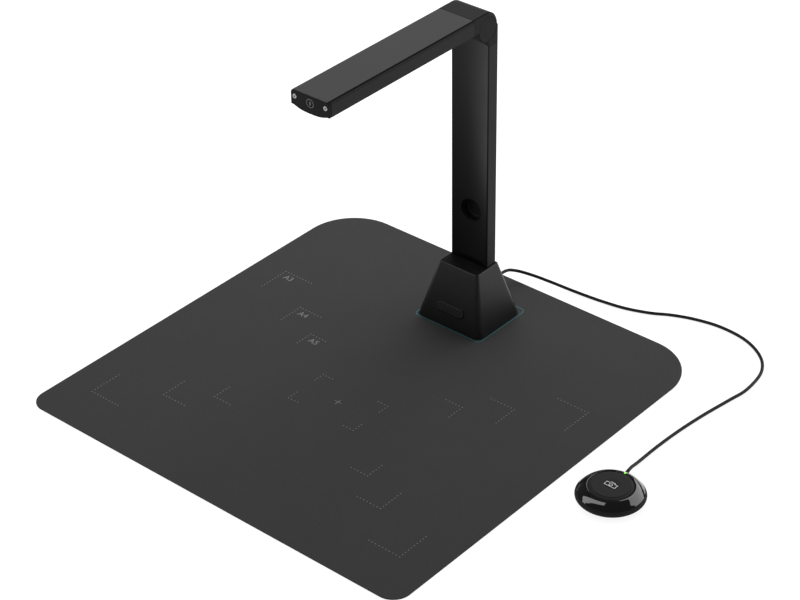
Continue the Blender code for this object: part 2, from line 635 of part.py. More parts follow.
def build_arm():
    half = ARM_WIDTH / 2
    cap_back_y = ARM_FRONT_Y + END_CAP_THICK
    metal_front_y = cap_back_y + GAP
    length = ARM_METAL_END_Y - metal_front_y
    middle_y = (ARM_METAL_END_Y + metal_front_y) / 2
    inner = half - ARM_WALL
    lip_half = BELLY_HALF + GAP
    lip_top = ARM_LIP_Z + 1.4 * MM
    web_low = ARM_DECK_Z - 1.6 * MM
    section = [(lip_half, ARM_LIP_Z), (half, ARM_LIP_Z), (half, ARM_SIDE_TOP_Z),
               (ARM_DECK_HALF, ARM_DECK_Z)]
    hollow = [(inner - 1 * MM, web_low), (inner, ARM_SIDE_TOP_Z - 1 * MM), (inner, lip_top),
              (lip_half, lip_top)]
    left = [(-x, z) for x, z in reversed(section)]
    inside_left = [(-x, z) for x, z in reversed(hollow)]
    outline = section + left + inside_left + hollow
    prism("arm_channel", outline, length, (0, middle_y, 0), SECTION_XZ, "anodised_dark")

    plate_low = ARM_DECK_Z + GAP
    plate = box("arm_top_plate", (-PLATE_HALF, ARM_FRONT_Y, plate_low),
                (PLATE_HALF, ARM_METAL_END_Y, ARM_TOP_Z), "top_plate_grey")
    round_edges(plate, 0.4 * MM, 1)

    # Belly: the convex lower cover, with the lens hole and the light window
    belly_outline = belly_curve() + list(reversed(belly_curve(BELLY_WALL)))
    belly = prism("arm_bottom_cover", belly_outline, length, (0, middle_y, 0), SECTION_XZ,
                  "black_plastic")
    lens_hole = cylinder("lens_hole", (0, LENS_Y, ARM_LIP_Z), LENS_RADIUS + GAP, 30 * MM)
    window = box("light_window", (-12.3 * MM, LENS_Y + 12.7 * MM, ARM_LIP_Z - 12 * MM),
                 (12.3 * MM, LENS_Y + 20.3 * MM, ARM_LIP_Z + 12 * MM))
    cut(belly, lens_hole, window)

    # End cap with its screws, touch ring and light symbol
    cap_outline = arm_outline()[1:] + [(-half, ARM_LIP_Z)]
    cap_outline += list(reversed(belly_curve()))
    cap = prism("arm_end_cap", cap_outline, END_CAP_THICK, (0, (ARM_FRONT_Y + cap_back_y) / 2, 0),
                SECTION_XZ, "black_plastic")
    face_depth = 0.8 * MM
    pocket = cylinder("touch_recess", (0, ARM_FRONT_Y, TOUCH_Z), 5 * MM, 2 * face_depth, ALONG_Y)
    cut(cap, pocket)
    notch_pitch = 5.3 * MM
    for i in range(5):
        x = (i - 2) * notch_pitch
        cut(cap, box(f"vent_notch_{i + 1}", (x - 0.7 * MM, ARM_FRONT_Y - MM, belly_z(x) + 0.9 * MM),
                     (x + 0.7 * MM, ARM_FRONT_Y + 1.5 * MM, belly_z(x) + 2.4 * MM)))
    for side, sign in SIDES.items():
        seat = (sign * CAP_SCREW_X, ARM_FRONT_Y, CAP_SCREW_Z)
        cut(cap, cylinder(f"screw_seat_{side}", seat, 2.8 * MM, 3.6 * MM, ALONG_Y, sides=24),
            cylinder(f"screw_hole_{side}", seat, 1.5 * MM, 20 * MM, ALONG_Y, sides=16))
        screw = turned(f"end_cap_screw_{side}", [(0, 11 * MM), (1.2 * MM, 11 * MM), (1.2 * MM, 1.8 * MM),
                                                 (2.45 * MM, 1.8 * MM), (2.45 * MM, 0), (0, 0)],
                       (sign * CAP_SCREW_X, ARM_FRONT_Y - 0.3 * MM, CAP_SCREW_Z), "bright_screw",
                       ALONG_Y, 24)
        cut(screw, cylinder(f"hex_socket_{side}", (sign * CAP_SCREW_X, ARM_FRONT_Y, CAP_SCREW_Z),
                            1.1 * MM, 2 * MM, ALONG_Y, sides=6))
    inlay_y = ARM_FRONT_Y + 0.2 * MM
    turned("touch_light_ring", ring_profile(3.9 * MM, 4.6 * MM, 0.5 * MM), (0, inlay_y, TOUCH_Z),
           "light_grey_print", ALONG_Y, 32)
    symbol = cylinder("touch_light_symbol", (0, inlay_y, TOUCH_Z + 0.5 * MM), 1.45 * MM, 0.5 * MM,
                      ALONG_Y, "light_grey_print", 20)
    fuse(symbol, box("symbol_stem", (-0.65 * MM, inlay_y - 0.25 * MM, TOUCH_Z - 2.1 * MM),
                     (0.65 * MM, inlay_y + 0.25 * MM, TOUCH_Z - 0.4 * MM)))

    build_arm_rear()
    build_head_electronics()


def build_arm_rear():
    """Rear cover that wraps the hinge barrel, and the steel lug that turns on the pin."""
    half = ARM_WIDTH / 2
    reach = BARREL_RADIUS + GAP
    start_y = ARM_METAL_END_Y + GAP
    axis = (HINGE_Y, HINGE_Z)

    # The cheeks carry on the channel's deck and its chamfer round the hinge
    def cheek(x, top, radius):
        profile = [(start_y, ARM_LIP_Z), (start_y, top)] + arc(axis, radius, 90, 0, 8)
        return [(x, y, z) for y, z in profile + arc(axis, reach, 0.5, 178, 20)]

    side = (ARM_SIDE_TOP_Z, reach + 0.3 * MM)
    deck = (ARM_DECK_Z, ARM_DECK_Z - HINGE_Z)
    cover = loft("arm_rear_cover", [cheek(-half, *side), cheek(-ARM_DECK_HALF, *deck),
                                    cheek(ARM_DECK_HALF, *deck), cheek(half, *side)],
                 "hinge_plastic")

    # The strap between them carries on the top plate
    inner = reach + 1 * MM
    strap = [(start_y, ARM_TOP_Z)]
    strap += arc(axis, KNUCKLE_RADIUS, 90, 0, 8) + arc(axis, inner, 0, 90, 8)
    strap += [(start_y, HINGE_Z + inner)]
    fuse(cover, prism("cover_strap", strap, 2 * PLATE_HALF, rotation=SECTION_YZ))
    hollow = box("cover_hollow", (-21.5 * MM, start_y - 5 * MM, ARM_LIP_Z - 5 * MM),
                 (21.5 * MM, HINGE_Y - 8 * MM, ARM_DECK_Z - 2.2 * MM))
    cut(cover, hollow)

    lug_low = ARM_LIP_Z + 0.9 * MM
    lug_high = ARM_DECK_Z - 3.2 * MM
    lug = box("arm_hinge_lug", (-LUG_HALF, 106 * MM, lug_low), (LUG_HALF, HINGE_Y, lug_high), "steel")
    eye = cylinder("lug_eye", (0, HINGE_Y, HINGE_Z), LUG_RADIUS, 2 * LUG_HALF, ALONG_X)
    bore = cylinder("lug_bore", (0, HINGE_Y, HINGE_Z), PIN_RADIUS + GAP, 60 * MM, ALONG_X, sides=24)
    above_eye = box("lug_trim", (-20 * MM, HINGE_Y - 9.4 * MM, HINGE_Z + 4 * MM),
                    (20 * MM, HINGE_Y + 20 * MM, HINGE_Z + 30 * MM))
    cut(lug, above_eye)
    fuse(lug, eye)
    cut(lug, bore)


def build_head_electronics():
    """Camera, light and touch sensor in the end of the arm."""
    barrel_low = ARM_LIP_Z - BELLY_STEP - BELLY_DROP - LENS_DROP
    barrel_high = ARM_LIP_Z + 6.1 * MM
    board_low = barrel_high + 2 * MM
    glass_low = barrel_low + 1.3 * MM
    glass_high = glass_low + 2 * MM
    seat = 5.8 * MM
    shoulder = ARM_LIP_Z - 1.5 * MM
    turned("lens_barrel", [(LENS_NECK_RADIUS, barrel_high), (LENS_NECK_RADIUS, shoulder),
                           (LENS_RADIUS, shoulder), (LENS_RADIUS, barrel_low + 0.5 * MM),
                           (LENS_RADIUS - 0.5 * MM, barrel_low), (seat + 0.8 * MM, barrel_low),
                           (seat, glass_low), (seat, glass_high + GAP),
                           (4.4 * MM, glass_high + GAP), (4.4 * MM, barrel_high)],
           (0, LENS_Y, 0), "sensor_black", steps=28)
    glass_radius = seat - GAP
    turned("lens_glass", [(0, glass_high), (glass_radius, glass_high),
                          (glass_radius, glass_low + 0.7 * MM), (glass_radius * 0.7, glass_low + 0.3 * MM),
                          (0, glass_low)], (0, LENS_Y, 0), "lens_glass", steps=28)
    box("image_sensor", (-5 * MM, LENS_Y - 4 * MM, barrel_high + GAP),
        (5 * MM, LENS_Y + 4 * MM, board_low - GAP), "sensor_black")
    box("camera_board", (-18 * MM, LENS_Y - 7.2 * MM, board_low),
        (18 * MM, LENS_Y + 62 * MM, board_low + 1.4 * MM), "circuit_board")
    box("led_board", (-14 * MM, LENS_Y + 11 * MM, ARM_LIP_Z - 0.5 * MM),
        (14 * MM, LENS_Y + 22 * MM, ARM_LIP_Z + 0.7 * MM), "circuit_board")
    window_half = 12 * MM
    depth = 1.5 * MM
    lower = [(x, belly_z(x)) for x in (window_half * (i / 4 - 1) for i in range(9))]
    outline = lower + [(x, z + depth) for x, z in reversed(lower)]
    prism("led_diffuser", outline, 7 * MM, (0, LENS_Y + 16.5 * MM, 0), SECTION_XZ, "diffuser_white")
    cylinder("touch_sensor_board", (0, ARM_FRONT_Y + END_CAP_THICK + GAP + 0.5 * MM, TOUCH_Z), 5 * MM,
             1 * MM, ALONG_Y, "circuit_board", 24)


# ---------------------------------------------------------------- hand button
def polar(radius, angle, height):
    """A point given by distance and direction from the hand button's axis."""
    return (PUCK_X + radius * math.cos(angle), PUCK_Y + radius * math.sin(angle), height)


def build_hand_button():
    centre = (PUCK_X, PUCK_Y, 0)
    pad_top = 0.7 * MM
    turned("puck_foot_pad", ring_profile(20 * MM, 28 * MM, pad_top), (PUCK_X, PUCK_Y, pad_top / 2),
           "rubber", steps=32)
    floor_low = pad_top + GAP
    floor_high = floor_low + 1.8 * MM
    lower = [(r * MM, z * MM) for r, z in PUCK_LOWER]
    base_cavity = [(0, floor_high), (29 * MM, floor_high), (32 * MM, 4.6 * MM),
                   (33.2 * MM, 6.4 * MM), (32.6 * MM, 8 * MM), (31.6 * MM, lower[0][1])]
    base = turned("puck_base", base_cavity + lower + [(29.2 * MM, floor_low), (0, floor_low)],
                  centre, "matte_black", steps=40)
    outward = (0, math.pi / 2, RELIEF_ANGLE)
    relief_radius = 2.4 * MM
    cut(base, cylinder("relief_hole", polar(PUCK_RADIUS, RELIEF_ANGLE, RELIEF_Z),
                       relief_radius + GAP, 14 * MM, outward, sides=20))
    turned("puck_cord_relief", [(0, RELIEF_LENGTH), (1.9 * MM, RELIEF_LENGTH),
                                (relief_radius, 1.4 * MM), (relief_radius, -4 * MM), (0, -4 * MM)],
           polar(PUCK_RADIUS - 0.5 * MM, RELIEF_ANGLE, RELIEF_Z), "cord_black", outward, 20)

    # Glossy upper shell: a rounded flank, a narrow bezel and the button's well
    well_radius = BEZEL_RADIUS + 1.6 * MM
    well_low = 9.6 * MM
    split = PUCK_LOWER[0][1] * MM + GAP
    shell = [(BEZEL_RADIUS, BEZEL_Z)] + [(r * MM, z * MM) for r, z in PUCK_UPPER]
    shell += [(33.2 * MM, split), (31.4 * MM, split), (30.2 * MM, 11.2 * MM),
              (28.2 * MM, 12.9 * MM), (26.4 * MM, 13.8 * MM), (well_radius, 13.9 * MM),
              (well_radius, well_low), (BEZEL_RADIUS, well_low)]
    upper = turned("puck_upper_shell", shell, centre, "piano_black", steps=40)
    cut(upper, cylinder("led_hole", polar(LED_OFFSET, LED_ANGLE, BEZEL_Z), 1.4 * MM, 8 * MM,
                        sides=16))
    turned("puck_led", [(0, BEZEL_Z + 0.5 * MM), (0.7 * MM, BEZEL_Z + 0.3 * MM),
                        (1.1 * MM, BEZEL_Z - 0.1 * MM), (1.1 * MM, BEZEL_Z - 3 * MM),
                        (0, BEZEL_Z - 3 * MM)],
           polar(LED_OFFSET, LED_ANGLE, 0), "led_green", steps=16)

    # Switch board, tact switch and the sprung button
    board_low = floor_high + 2.4 * MM
    board_high = board_low + 1.2 * MM
    cylinder("puck_board", (PUCK_X, PUCK_Y, (board_low + board_high) / 2), 20 * MM,
             board_high - board_low, finish="circuit_board")
    turned("puck_board_spacer", ring_profile(14 * MM, 16 * MM, 1.8 * MM),
           (PUCK_X, PUCK_Y, floor_high + GAP + 0.9 * MM), "matte_black", steps=24)
    switch_high = board_high + GAP + 3.2 * MM
    stem_length = 1.6 * MM
    stem_high = switch_high + stem_length / 2
    switch = box("puck_switch", (PUCK_X - 3 * MM, PUCK_Y - 3 * MM, board_high + GAP),
                 (PUCK_X + 3 * MM, PUCK_Y + 3 * MM, switch_high), "sensor_black")
    fuse(switch, cylinder("switch_stem", (PUCK_X, PUCK_Y, switch_high), 1.7 * MM, stem_length,
                          sides=16))

    underside = BUTTON_TOP_Z - 2.2 * MM
    build_button_spring(board_high + GAP, underside - GAP)
    dish_radius = 9.5 * MM
    dish_depth = 0.5 * MM
    skirt_low = 11.3 * MM
    inner = BUTTON_RADIUS - 1.8 * MM
    button = turned("puck_button", [
        (0, BUTTON_TOP_Z - dish_depth), (dish_radius - 0.8 * MM, BUTTON_TOP_Z - dish_depth),
        (dish_radius, BUTTON_TOP_Z), (BUTTON_FACE_RADIUS, BUTTON_TOP_Z),
        (BUTTON_FACE_RADIUS + 1 * MM, BUTTON_TOP_Z - 0.7 * MM),
        (BUTTON_RADIUS - 0.4 * MM, BUTTON_TOP_Z - 1.3 * MM), (BUTTON_RADIUS, BUTTON_TOP_Z - 1.8 * MM),
        (BUTTON_RADIUS, skirt_low), (inner, skirt_low), (inner, underside), (0, underside)],
        centre, "matte_black", steps=40)
    plunger_low = stem_high + BUTTON_TRAVEL + GAP
    plunger_high = underside + 0.5 * MM
    fuse(button, cylinder("button_plunger", (PUCK_X, PUCK_Y, (plunger_low + plunger_high) / 2),
                          2.4 * MM, plunger_high - plunger_low, sides=16))

    # Camera pictogram: the outline of a body with a raised top, and a ring for its lens
    icon_z = BUTTON_TOP_Z - dish_depth + GAP + 0.2 * MM
    place_at = (PUCK_X, PUCK_Y, icon_z)
    body = [(-6.6, -3.5), (6.6, -3.5), (6.6, 2.3), (3.4, 2.3), (2.2, 3.9), (-2.2, 3.9),
            (-3.4, 2.3), (-6.6, 2.3)]
    inside = [(-5.85, -2.75), (5.85, -2.75), (5.85, 1.55), (3, 1.55), (1.8, 3.15), (-1.8, 3.15),
              (-3, 1.55), (-5.85, 1.55)]
    icon = prism("puck_icon", [(x * MM, y * MM) for x, y in body], 0.4 * MM, place_at,
                 finish="silver_icon")
    cut(icon, prism("icon_opening", [(x * MM, y * MM) for x, y in inside], 2 * MM, place_at))
    turned("puck_icon_lens", ring_profile(1.4 * MM, 2.1 * MM, 0.4 * MM),
           (PUCK_X, PUCK_Y - 0.6 * MM, icon_z), "silver_icon", steps=20)


def build_button_spring(low, high):
    """Three-turn wire spring between two heights."""
    wire = 0.4 * MM
    coil_radius = 9 * MM
    turns = 3
    turn_points = 10
    count = turns * turn_points
    coil = []
    for i in range(count + 1):
        angle = 2 * math.pi * i / turn_points
        coil.append(polar(coil_radius, angle, low + wire + (high - low - 2 * wire) * i / count))
    tube("puck_spring", coil, wire, "steel")


# ---------------------------------------------------------------- plug and cord
def build_cord():
    shell = box("usb_plug_shell", (PLUG_X - 6 * MM, 186.5 * MM, PLUG_Z - 2.25 * MM),
                (PLUG_X + 6 * MM, PLUG_BODY_Y[0] - GAP, PLUG_Z + 2.25 * MM), "steel")
    cut(shell, box("plug_mouth", (PLUG_X - 5.6 * MM, 180 * MM, PLUG_Z - 1.9 * MM),
                   (PLUG_X + 5.6 * MM, 197 * MM, PLUG_Z + 0.4 * MM)))
    box("usb_plug_body", (PLUG_X - 8 * MM, PLUG_BODY_Y[0], PLUG_Z - 4 * MM),
        (PLUG_X + 8 * MM, PLUG_BODY_Y[1], PLUG_Z + 4 * MM), "cord_black", bevel=1.2 * MM)
    relief_start = PLUG_BODY_Y[1] + GAP
    relief = PLUG_RELIEF_END_Y - relief_start
    turned("usb_plug_relief", [(0, relief), (2.2 * MM, relief), (3.2 * MM, 0), (0, 0)],
           (PLUG_X, relief_start, PLUG_Z), "cord_black", ALONG_Y, 20)

    start = Vector((PLUG_X, PLUG_RELIEF_END_Y + CORD_END_GAP, PLUG_Z))
    outward = Vector((math.cos(RELIEF_ANGLE), math.sin(RELIEF_ANGLE), 0))
    end = Vector(polar(PUCK_RADIUS - 0.5 * MM, RELIEF_ANGLE, RELIEF_Z))
    end += outward * (RELIEF_LENGTH + CORD_END_GAP)
    route = [start] + [Vector((x * MM, y * MM, z * MM)) for x, y, z in CORD_ROUTE] + [end]
    tube("button_cord", smooth_route(route, CORD_STEP), CORD_RADIUS, "cord_black")


def smooth_route(points, spacing):
    """Evenly spaced points along a smooth curve through the given points, above the desk."""
    padded = [2 * points[0] - points[1]] + points + [2 * points[-1] - points[-2]]
    fine = []
    for a, b, c, d in zip(padded, padded[1:], padded[2:], padded[3:]):
        for k in range(24):
            t = k / 24
            fine.append(0.5 * ((2 * b) + (c - a) * t + (2 * a - 5 * b + 4 * c - d) * t ** 2
                               + (3 * b - a - 3 * c + d) * t ** 3))
    fine.append(points[-1])
    lengths = [0.0]
    for p, q in zip(fine, fine[1:]):
        lengths.append(lengths[-1] + (q - p).length)
    count = round(lengths[-1] / spacing)
    result = []
    index = 0
    for k in range(count + 1):
        target = lengths[-1] * k / count
        while index < len(fine) - 2 and lengths[index + 1] < target:
            index += 1
        span = lengths[index + 1] - lengths[index]
        position = fine[index].lerp(fine[index + 1], (target - lengths[index]) / span)
        position.z = max(position.z, CORD_RADIUS + 0.05 * MM)
        result.append(position)
    return result


build_mat()
build_base()
build_post()
build_hinge()
build_arm()
build_hand_button()
build_cord()
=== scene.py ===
import math

import bmesh
import bpy
from mathutils import Matrix, Vector


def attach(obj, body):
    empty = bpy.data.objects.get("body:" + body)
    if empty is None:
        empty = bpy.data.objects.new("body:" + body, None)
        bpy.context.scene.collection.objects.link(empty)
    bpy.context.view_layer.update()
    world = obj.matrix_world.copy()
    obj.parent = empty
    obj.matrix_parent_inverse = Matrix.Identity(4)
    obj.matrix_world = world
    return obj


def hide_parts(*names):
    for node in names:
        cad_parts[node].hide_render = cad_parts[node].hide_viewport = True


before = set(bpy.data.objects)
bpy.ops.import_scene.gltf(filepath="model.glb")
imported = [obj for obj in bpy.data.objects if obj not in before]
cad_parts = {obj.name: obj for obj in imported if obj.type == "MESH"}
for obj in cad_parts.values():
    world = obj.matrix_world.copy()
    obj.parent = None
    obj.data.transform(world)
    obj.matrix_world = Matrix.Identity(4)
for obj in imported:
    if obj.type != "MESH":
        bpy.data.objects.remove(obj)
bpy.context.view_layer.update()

# ---------------- sizes (metres, row frame)
MM = 0.001
GAP = 0.3 * MM
MAT_SIDE = 500 * MM
MAT_X = 1.7 * MM                   # the mat's middle lies a little to the right of the stand's
MAT_THICK = 1.5 * MM
MAT_FAR_RADIUS = 60 * MM
MAT_NEAR_RADIUS = 20 * MM
PAGE_Y = -47 * MM                  # centre of the printed page marks
# Width and depth in millimetres, and dots along each side of a corner: three papers and a card
PAGES = [(420, 297, 10), (297, 210, 8), (210, 148, 6), (89, 53.6, 4)]
LABELS = ("A3", "A4", "A5")
LABEL_SIZE = 10.5 * MM
LABEL_INSET = (6 * MM, 12 * MM)    # from a page's far left corner
DOT_PITCH = 4.3 * MM
DOT_RADIUS = 0.62 * MM
CROSS_REACH = 4.5 * MM
CROSS_HALF = 0.3 * MM
INK_LOW = 0.02 * MM                # depth of the ink in the mat
INK_THICK = 0.05 * MM
OUTLINE_SIZE = (91.3 * MM, 81.4 * MM)
OUTLINE_RADIUS = 6.1 * MM
OUTLINE_CENTRE = (0, 168.95 * MM)
OUTLINE_LINE = 0.9 * MM
BASE_Y = 166.6 * MM
BASE_TOP_Y = 166.9 * MM
BASE_BOTTOM_Z = MAT_THICK + 1.1 * MM
BASE_TOP_Z = MAT_THICK + 66.8 * MM
BASE_FOOT_SIZE = (88 * MM, 74.5 * MM)
BASE_TOP_SIZE = (52.4 * MM, 36.4 * MM)
BASE_FOOT_RADIUS = 9 * MM
BASE_TOP_RADIUS = 3.2 * MM
BASE_EDGE_RADIUS = 1.2 * MM
BASE_WALL = 2.2 * MM
BADGE_SIZE = (38.6 * MM, 11.5 * MM)
BADGE_Z = MAT_THICK + 20.1 * MM
BADGE_PROUD = 1 * MM
BADGE_DEPTH = 1.3 * MM
FOOT_PLACE = (31 * MM, 24.5 * MM)  # from the base's middle
POST_HALF = 24.4 * MM
POST_FRONT_Y = 167.6 * MM
POST_BACK_Y = 182.6 * MM
POST_HOLLOW = 3.7 * MM
POST_WALL = 1.2 * MM
POST_BACK_WALL = 1.8 * MM
POST_CORNER = 2 * MM
POST_FOOT_Z = 9.2 * MM
POST_TOP_Z = 333.2 * MM
HINGE_Y = 165.5 * MM
HINGE_Z = 353.5 * MM
BARREL_RADIUS = 13.65 * MM
CAP_THICK = 1.2 * MM
LUG_RADIUS = 9.2 * MM
LUG_HALF = 9.7 * MM
WASHER_THICK = 1.8 * MM
ARM_HALF = 24.4 * MM
ARM_FRONT_Y = -72.2 * MM
ARM_METAL_END_Y = 144.7 * MM
ARM_LIP_Z = 354.2 * MM
ARM_SIDE_TOP_Z = 367.4 * MM
ARM_DECK_Z = 369.5 * MM
ARM_DECK_HALF = 23.1 * MM
ARM_WALL = 1.6 * MM
ARM_TOP_Z = 370.7 * MM
PLATE_HALF = 21.7 * MM
END_CAP_THICK = 3 * MM
BELLY_HALF = 21 * MM
BELLY_STEP = 0.15 * MM
BELLY_DROP = 3.35 * MM
BELLY_POWER = 2.8
BELLY_WALL = 1.5 * MM
KNUCKLE_RADIUS = ARM_TOP_Z - HINGE_Z
TOUCH_Z = 362.1 * MM
TOUCH_RECESS_RADIUS = 5 * MM
TOUCH_RECESS_DEPTH = 0.8 * MM
TOUCH_RING = (3.9 * MM, 4.6 * MM)  # inner and outer radius
INLAY_THICK = 0.5 * MM
INLAY_PROUD = 0.05 * MM
CAP_SCREW_X = 19.5 * MM
CAP_SCREW_Z = 363.4 * MM
SCREW_HEAD_RADIUS = 2.45 * MM
SCREW_HEAD_THICK = 1.8 * MM
SCREW_SHANK_RADIUS = 1.2 * MM
SCREW_LENGTH = 11 * MM
SLOT_COUNT = 5
SLOT_PITCH = 5.3 * MM
POCKET_Z = 130.2 * MM
POCKET_RADIUS = 13.35 * MM
LENS_Y = HINGE_Y - (HINGE_Z - POCKET_Z)
LENS_RADIUS = 8.2 * MM
LENS_DROP = 3.8 * MM
LIGHT_OFFSET = 16.5 * MM           # from the lens towards the hinge
LIGHT_SIZE = (24 * MM, 7 * MM)
LIGHT_HOLE_SIZE = (24.6 * MM, 7.6 * MM)
LIGHT_HOLE_RADIUS = 0.8 * MM
PUCK_X = 310 * MM
PUCK_Y = 3.5 * MM
PUCK_RADIUS = 35.4 * MM
# Outlines of the hand button in millimetres from its axis and from the desk
PUCK_UPPER = [(24.3, 16.3), (25.8, 16.0), (27.6, 15.1), (29.6, 13.7), (31.7, 11.8), (33.3, 10.1)]
PUCK_LOWER = [(33.5, 9.7), (34.7, 8.2), (35.4, 6.4), (35.1, 4.9), (33.9, 3.5), (32, 2.2),
              (29.6, 1.2)]
BUTTON_RADIUS = 22.8 * MM
BUTTON_FACE_RADIUS = 19.6 * MM
BUTTON_TOP_Z = 17.4 * MM
BUTTON_DISH = 0.5 * MM             # depth of the dish round the button's sign
BEZEL_RADIUS = 23.3 * MM
BEZEL_Z = 16.3 * MM
RELIEF_ANGLE = math.radians(102.4)
RELIEF_Z = 5.2 * MM
RELIEF_OUT = Vector((math.cos(RELIEF_ANGLE), math.sin(RELIEF_ANGLE), 0))
RELIEF_LENGTH = 6 * MM
LED_ANGLE = math.radians(93)
LED_OFFSET = 25 * MM
LED_RADIUS = 1.1 * MM
CORD_RADIUS = 1.75 * MM
CORD_END_GAP = 0.9 * MM
CORD_LIFT = 0.05 * MM              # the cord's least height above what it lies on
CORD_STEP = 3 * MM                 # distance between the cord's points
ROUTE_STEPS = 24                   # points of the smooth line for each stretch of the route
PLUG_X = -5.5 * MM
PLUG_Z = 18 * MM
PLUG_BODY_SIZE = (16 * MM, 8 * MM)
PLUG_SHELL_HALF = (6 * MM, 2.25 * MM)
PLUG_HOLE_HALF = (7 * MM, 3.2 * MM)
PLUG_TIP_Y = 186.5 * MM
PLUG_BODY_Y = (201.2 * MM, 219.4 * MM)
PLUG_RELIEF_END_Y = 229.2 * MM
USB_C_X = 18 * MM
USB_C_Z = 16.4 * MM
USB_C_SIZE = (10.8 * MM, 4.4 * MM)
USB_C_RADIUS = 2.1 * MM
CORD_ROUTE = [
    (-5.3, 236.5, 17.9), (-4.3, 242.5, 17), (-1.8, 248, 15), (2.7, 253.8, 12.4),
    (12.1, 259.9, 9.3), (22.7, 264.4, 6.8), (40.2, 268.8, 4.2), (65.3, 272.2, 2.4),
    (96.9, 275.8, 1.8), (126.7, 281, 1.8), (153.1, 290.7, 1.8), (172, 301.4, 1.8),
    (192.4, 309.7, 1.8), (214.7, 315.2, 1.8), (233.1, 316.5, 1.8), (253.6, 314.5, 1.8),
    (271.4, 308.8, 1.8), (288.2, 298.6, 1.8), (300.9, 285.2, 1.8), (309.3, 266.2, 1.8),
    (312.6, 236.2, 1.8), (309, 210.5, 1.8), (303.2, 172.3, 1.8), (299.5, 136.5, 1.8),
    (297.8, 102.6, 1.8), (297.8, 76, 1.8), (298.7, 62, 3), (299.4, 53, 4.4),
]

scene = bpy.context.scene
ROUND = 96
SIDES = {"left": -1, "right": 1}
INWARD = (0, 1, 0)                 # from the front of the object towards its back

# ---------------- camera
CAMERA_PLACE = (1.3447, -1.50162, 1.43921)
CAMERA_AZIMUTH = math.radians(40.8526)
CAMERA_ELEVATION = math.radians(33.5531)
CAMERA_ROLL = math.radians(0.835)
CAMERA_LENS = 106.743              # millimetres
CAMERA_SENSOR = 36                 # millimetres
CAMERA_SHIFT = (-0.0001875, 0.0003625)         # shares of the frame's width


def direction(azimuth, elevation):
    """Unit vector away from the object; azimuth 0 is its front."""
    return Vector((math.sin(azimuth) * math.cos(elevation),
                   -math.cos(azimuth) * math.cos(elevation), math.sin(elevation)))


def build_camera():
    data = bpy.data.cameras.new("camera")
    data.lens = CAMERA_LENS
    data.sensor_width = CAMERA_SENSOR
    data.shift_x, data.shift_y = CAMERA_SHIFT
    data.clip_start = 0.05
    data.clip_end = 60
    camera = bpy.data.objects.new("camera", data)
    scene.collection.objects.link(camera)
    outward = direction(CAMERA_AZIMUTH, CAMERA_ELEVATION)
    turn = (-outward).to_track_quat("-Z", "Y").to_matrix().to_4x4()
    camera.matrix_world = (Matrix.Translation(CAMERA_PLACE) @ turn
                           @ Matrix.Rotation(-CAMERA_ROLL, 4, "Z"))
    scene.camera = camera


# ---------------- materials
NOISE_SPAN = (0.3, 0.7)            # the part of a noise that is put to use
CLOUD_SCALE = 25                   # slow change of the sheen, in waves per metre
BUMP_HEIGHT = 0.05 * MM


def fill(node, values):
    for name, value in values.items():
        node.inputs[name].default_value = value


def make_material(name, colour, roughness, metallic=0.0, specular=0.5, grain=0.0, size=0.4 * MM,
                  fleck=0.0, wander=0.03, coat=0.0, glow=0.0):
    """A finish with a fine grain: grain is the bump, fleck the change in colour."""
    material = bpy.data.materials.new(name)
    material.use_nodes = True
    nodes = material.node_tree.nodes
    links = material.node_tree.links
    shader = nodes["Principled BSDF"]
    fill(shader, {"Metallic": metallic, "Specular IOR Level": specular, "Coat Weight": coat,
                  "Coat Roughness": 0.04})
    place = nodes.new("ShaderNodeTexCoord")
    noise = nodes.new("ShaderNodeTexNoise")
    fill(noise, {"Scale": 1 / size, "Detail": 3, "Roughness": 0.6})
    links.new(place.outputs["Object"], noise.inputs["Vector"])
    ramp = nodes.new("ShaderNodeValToRGB")
    for stop, position, shade in zip(ramp.color_ramp.elements, NOISE_SPAN, (1 - fleck, 1 + fleck)):
        stop.position = position
        stop.color = (*[c * shade for c in colour], 1)
    links.new(noise.outputs["Fac"], ramp.inputs["Fac"])
    links.new(ramp.outputs["Color"], shader.inputs["Base Color"])
    cloud = nodes.new("ShaderNodeTexNoise")
    fill(cloud, {"Scale": CLOUD_SCALE})
    links.new(place.outputs["Object"], cloud.inputs["Vector"])
    spread = nodes.new("ShaderNodeMapRange")
    fill(spread, {"From Min": NOISE_SPAN[0], "From Max": NOISE_SPAN[1],
                  "To Min": max(roughness - wander, 0.01), "To Max": min(roughness + wander, 1)})
    links.new(cloud.outputs["Fac"], spread.inputs["Value"])
    links.new(spread.outputs["Result"], shader.inputs["Roughness"])
    if grain:
        bump = nodes.new("ShaderNodeBump")
        fill(bump, {"Strength": grain, "Distance": BUMP_HEIGHT})
        links.new(noise.outputs["Fac"], bump.inputs["Height"])
        links.new(bump.outputs["Normal"], shader.inputs["Normal"])
    if glow:
        fill(shader, {"Emission Color": (*colour, 1), "Emission Strength": glow})
    return material


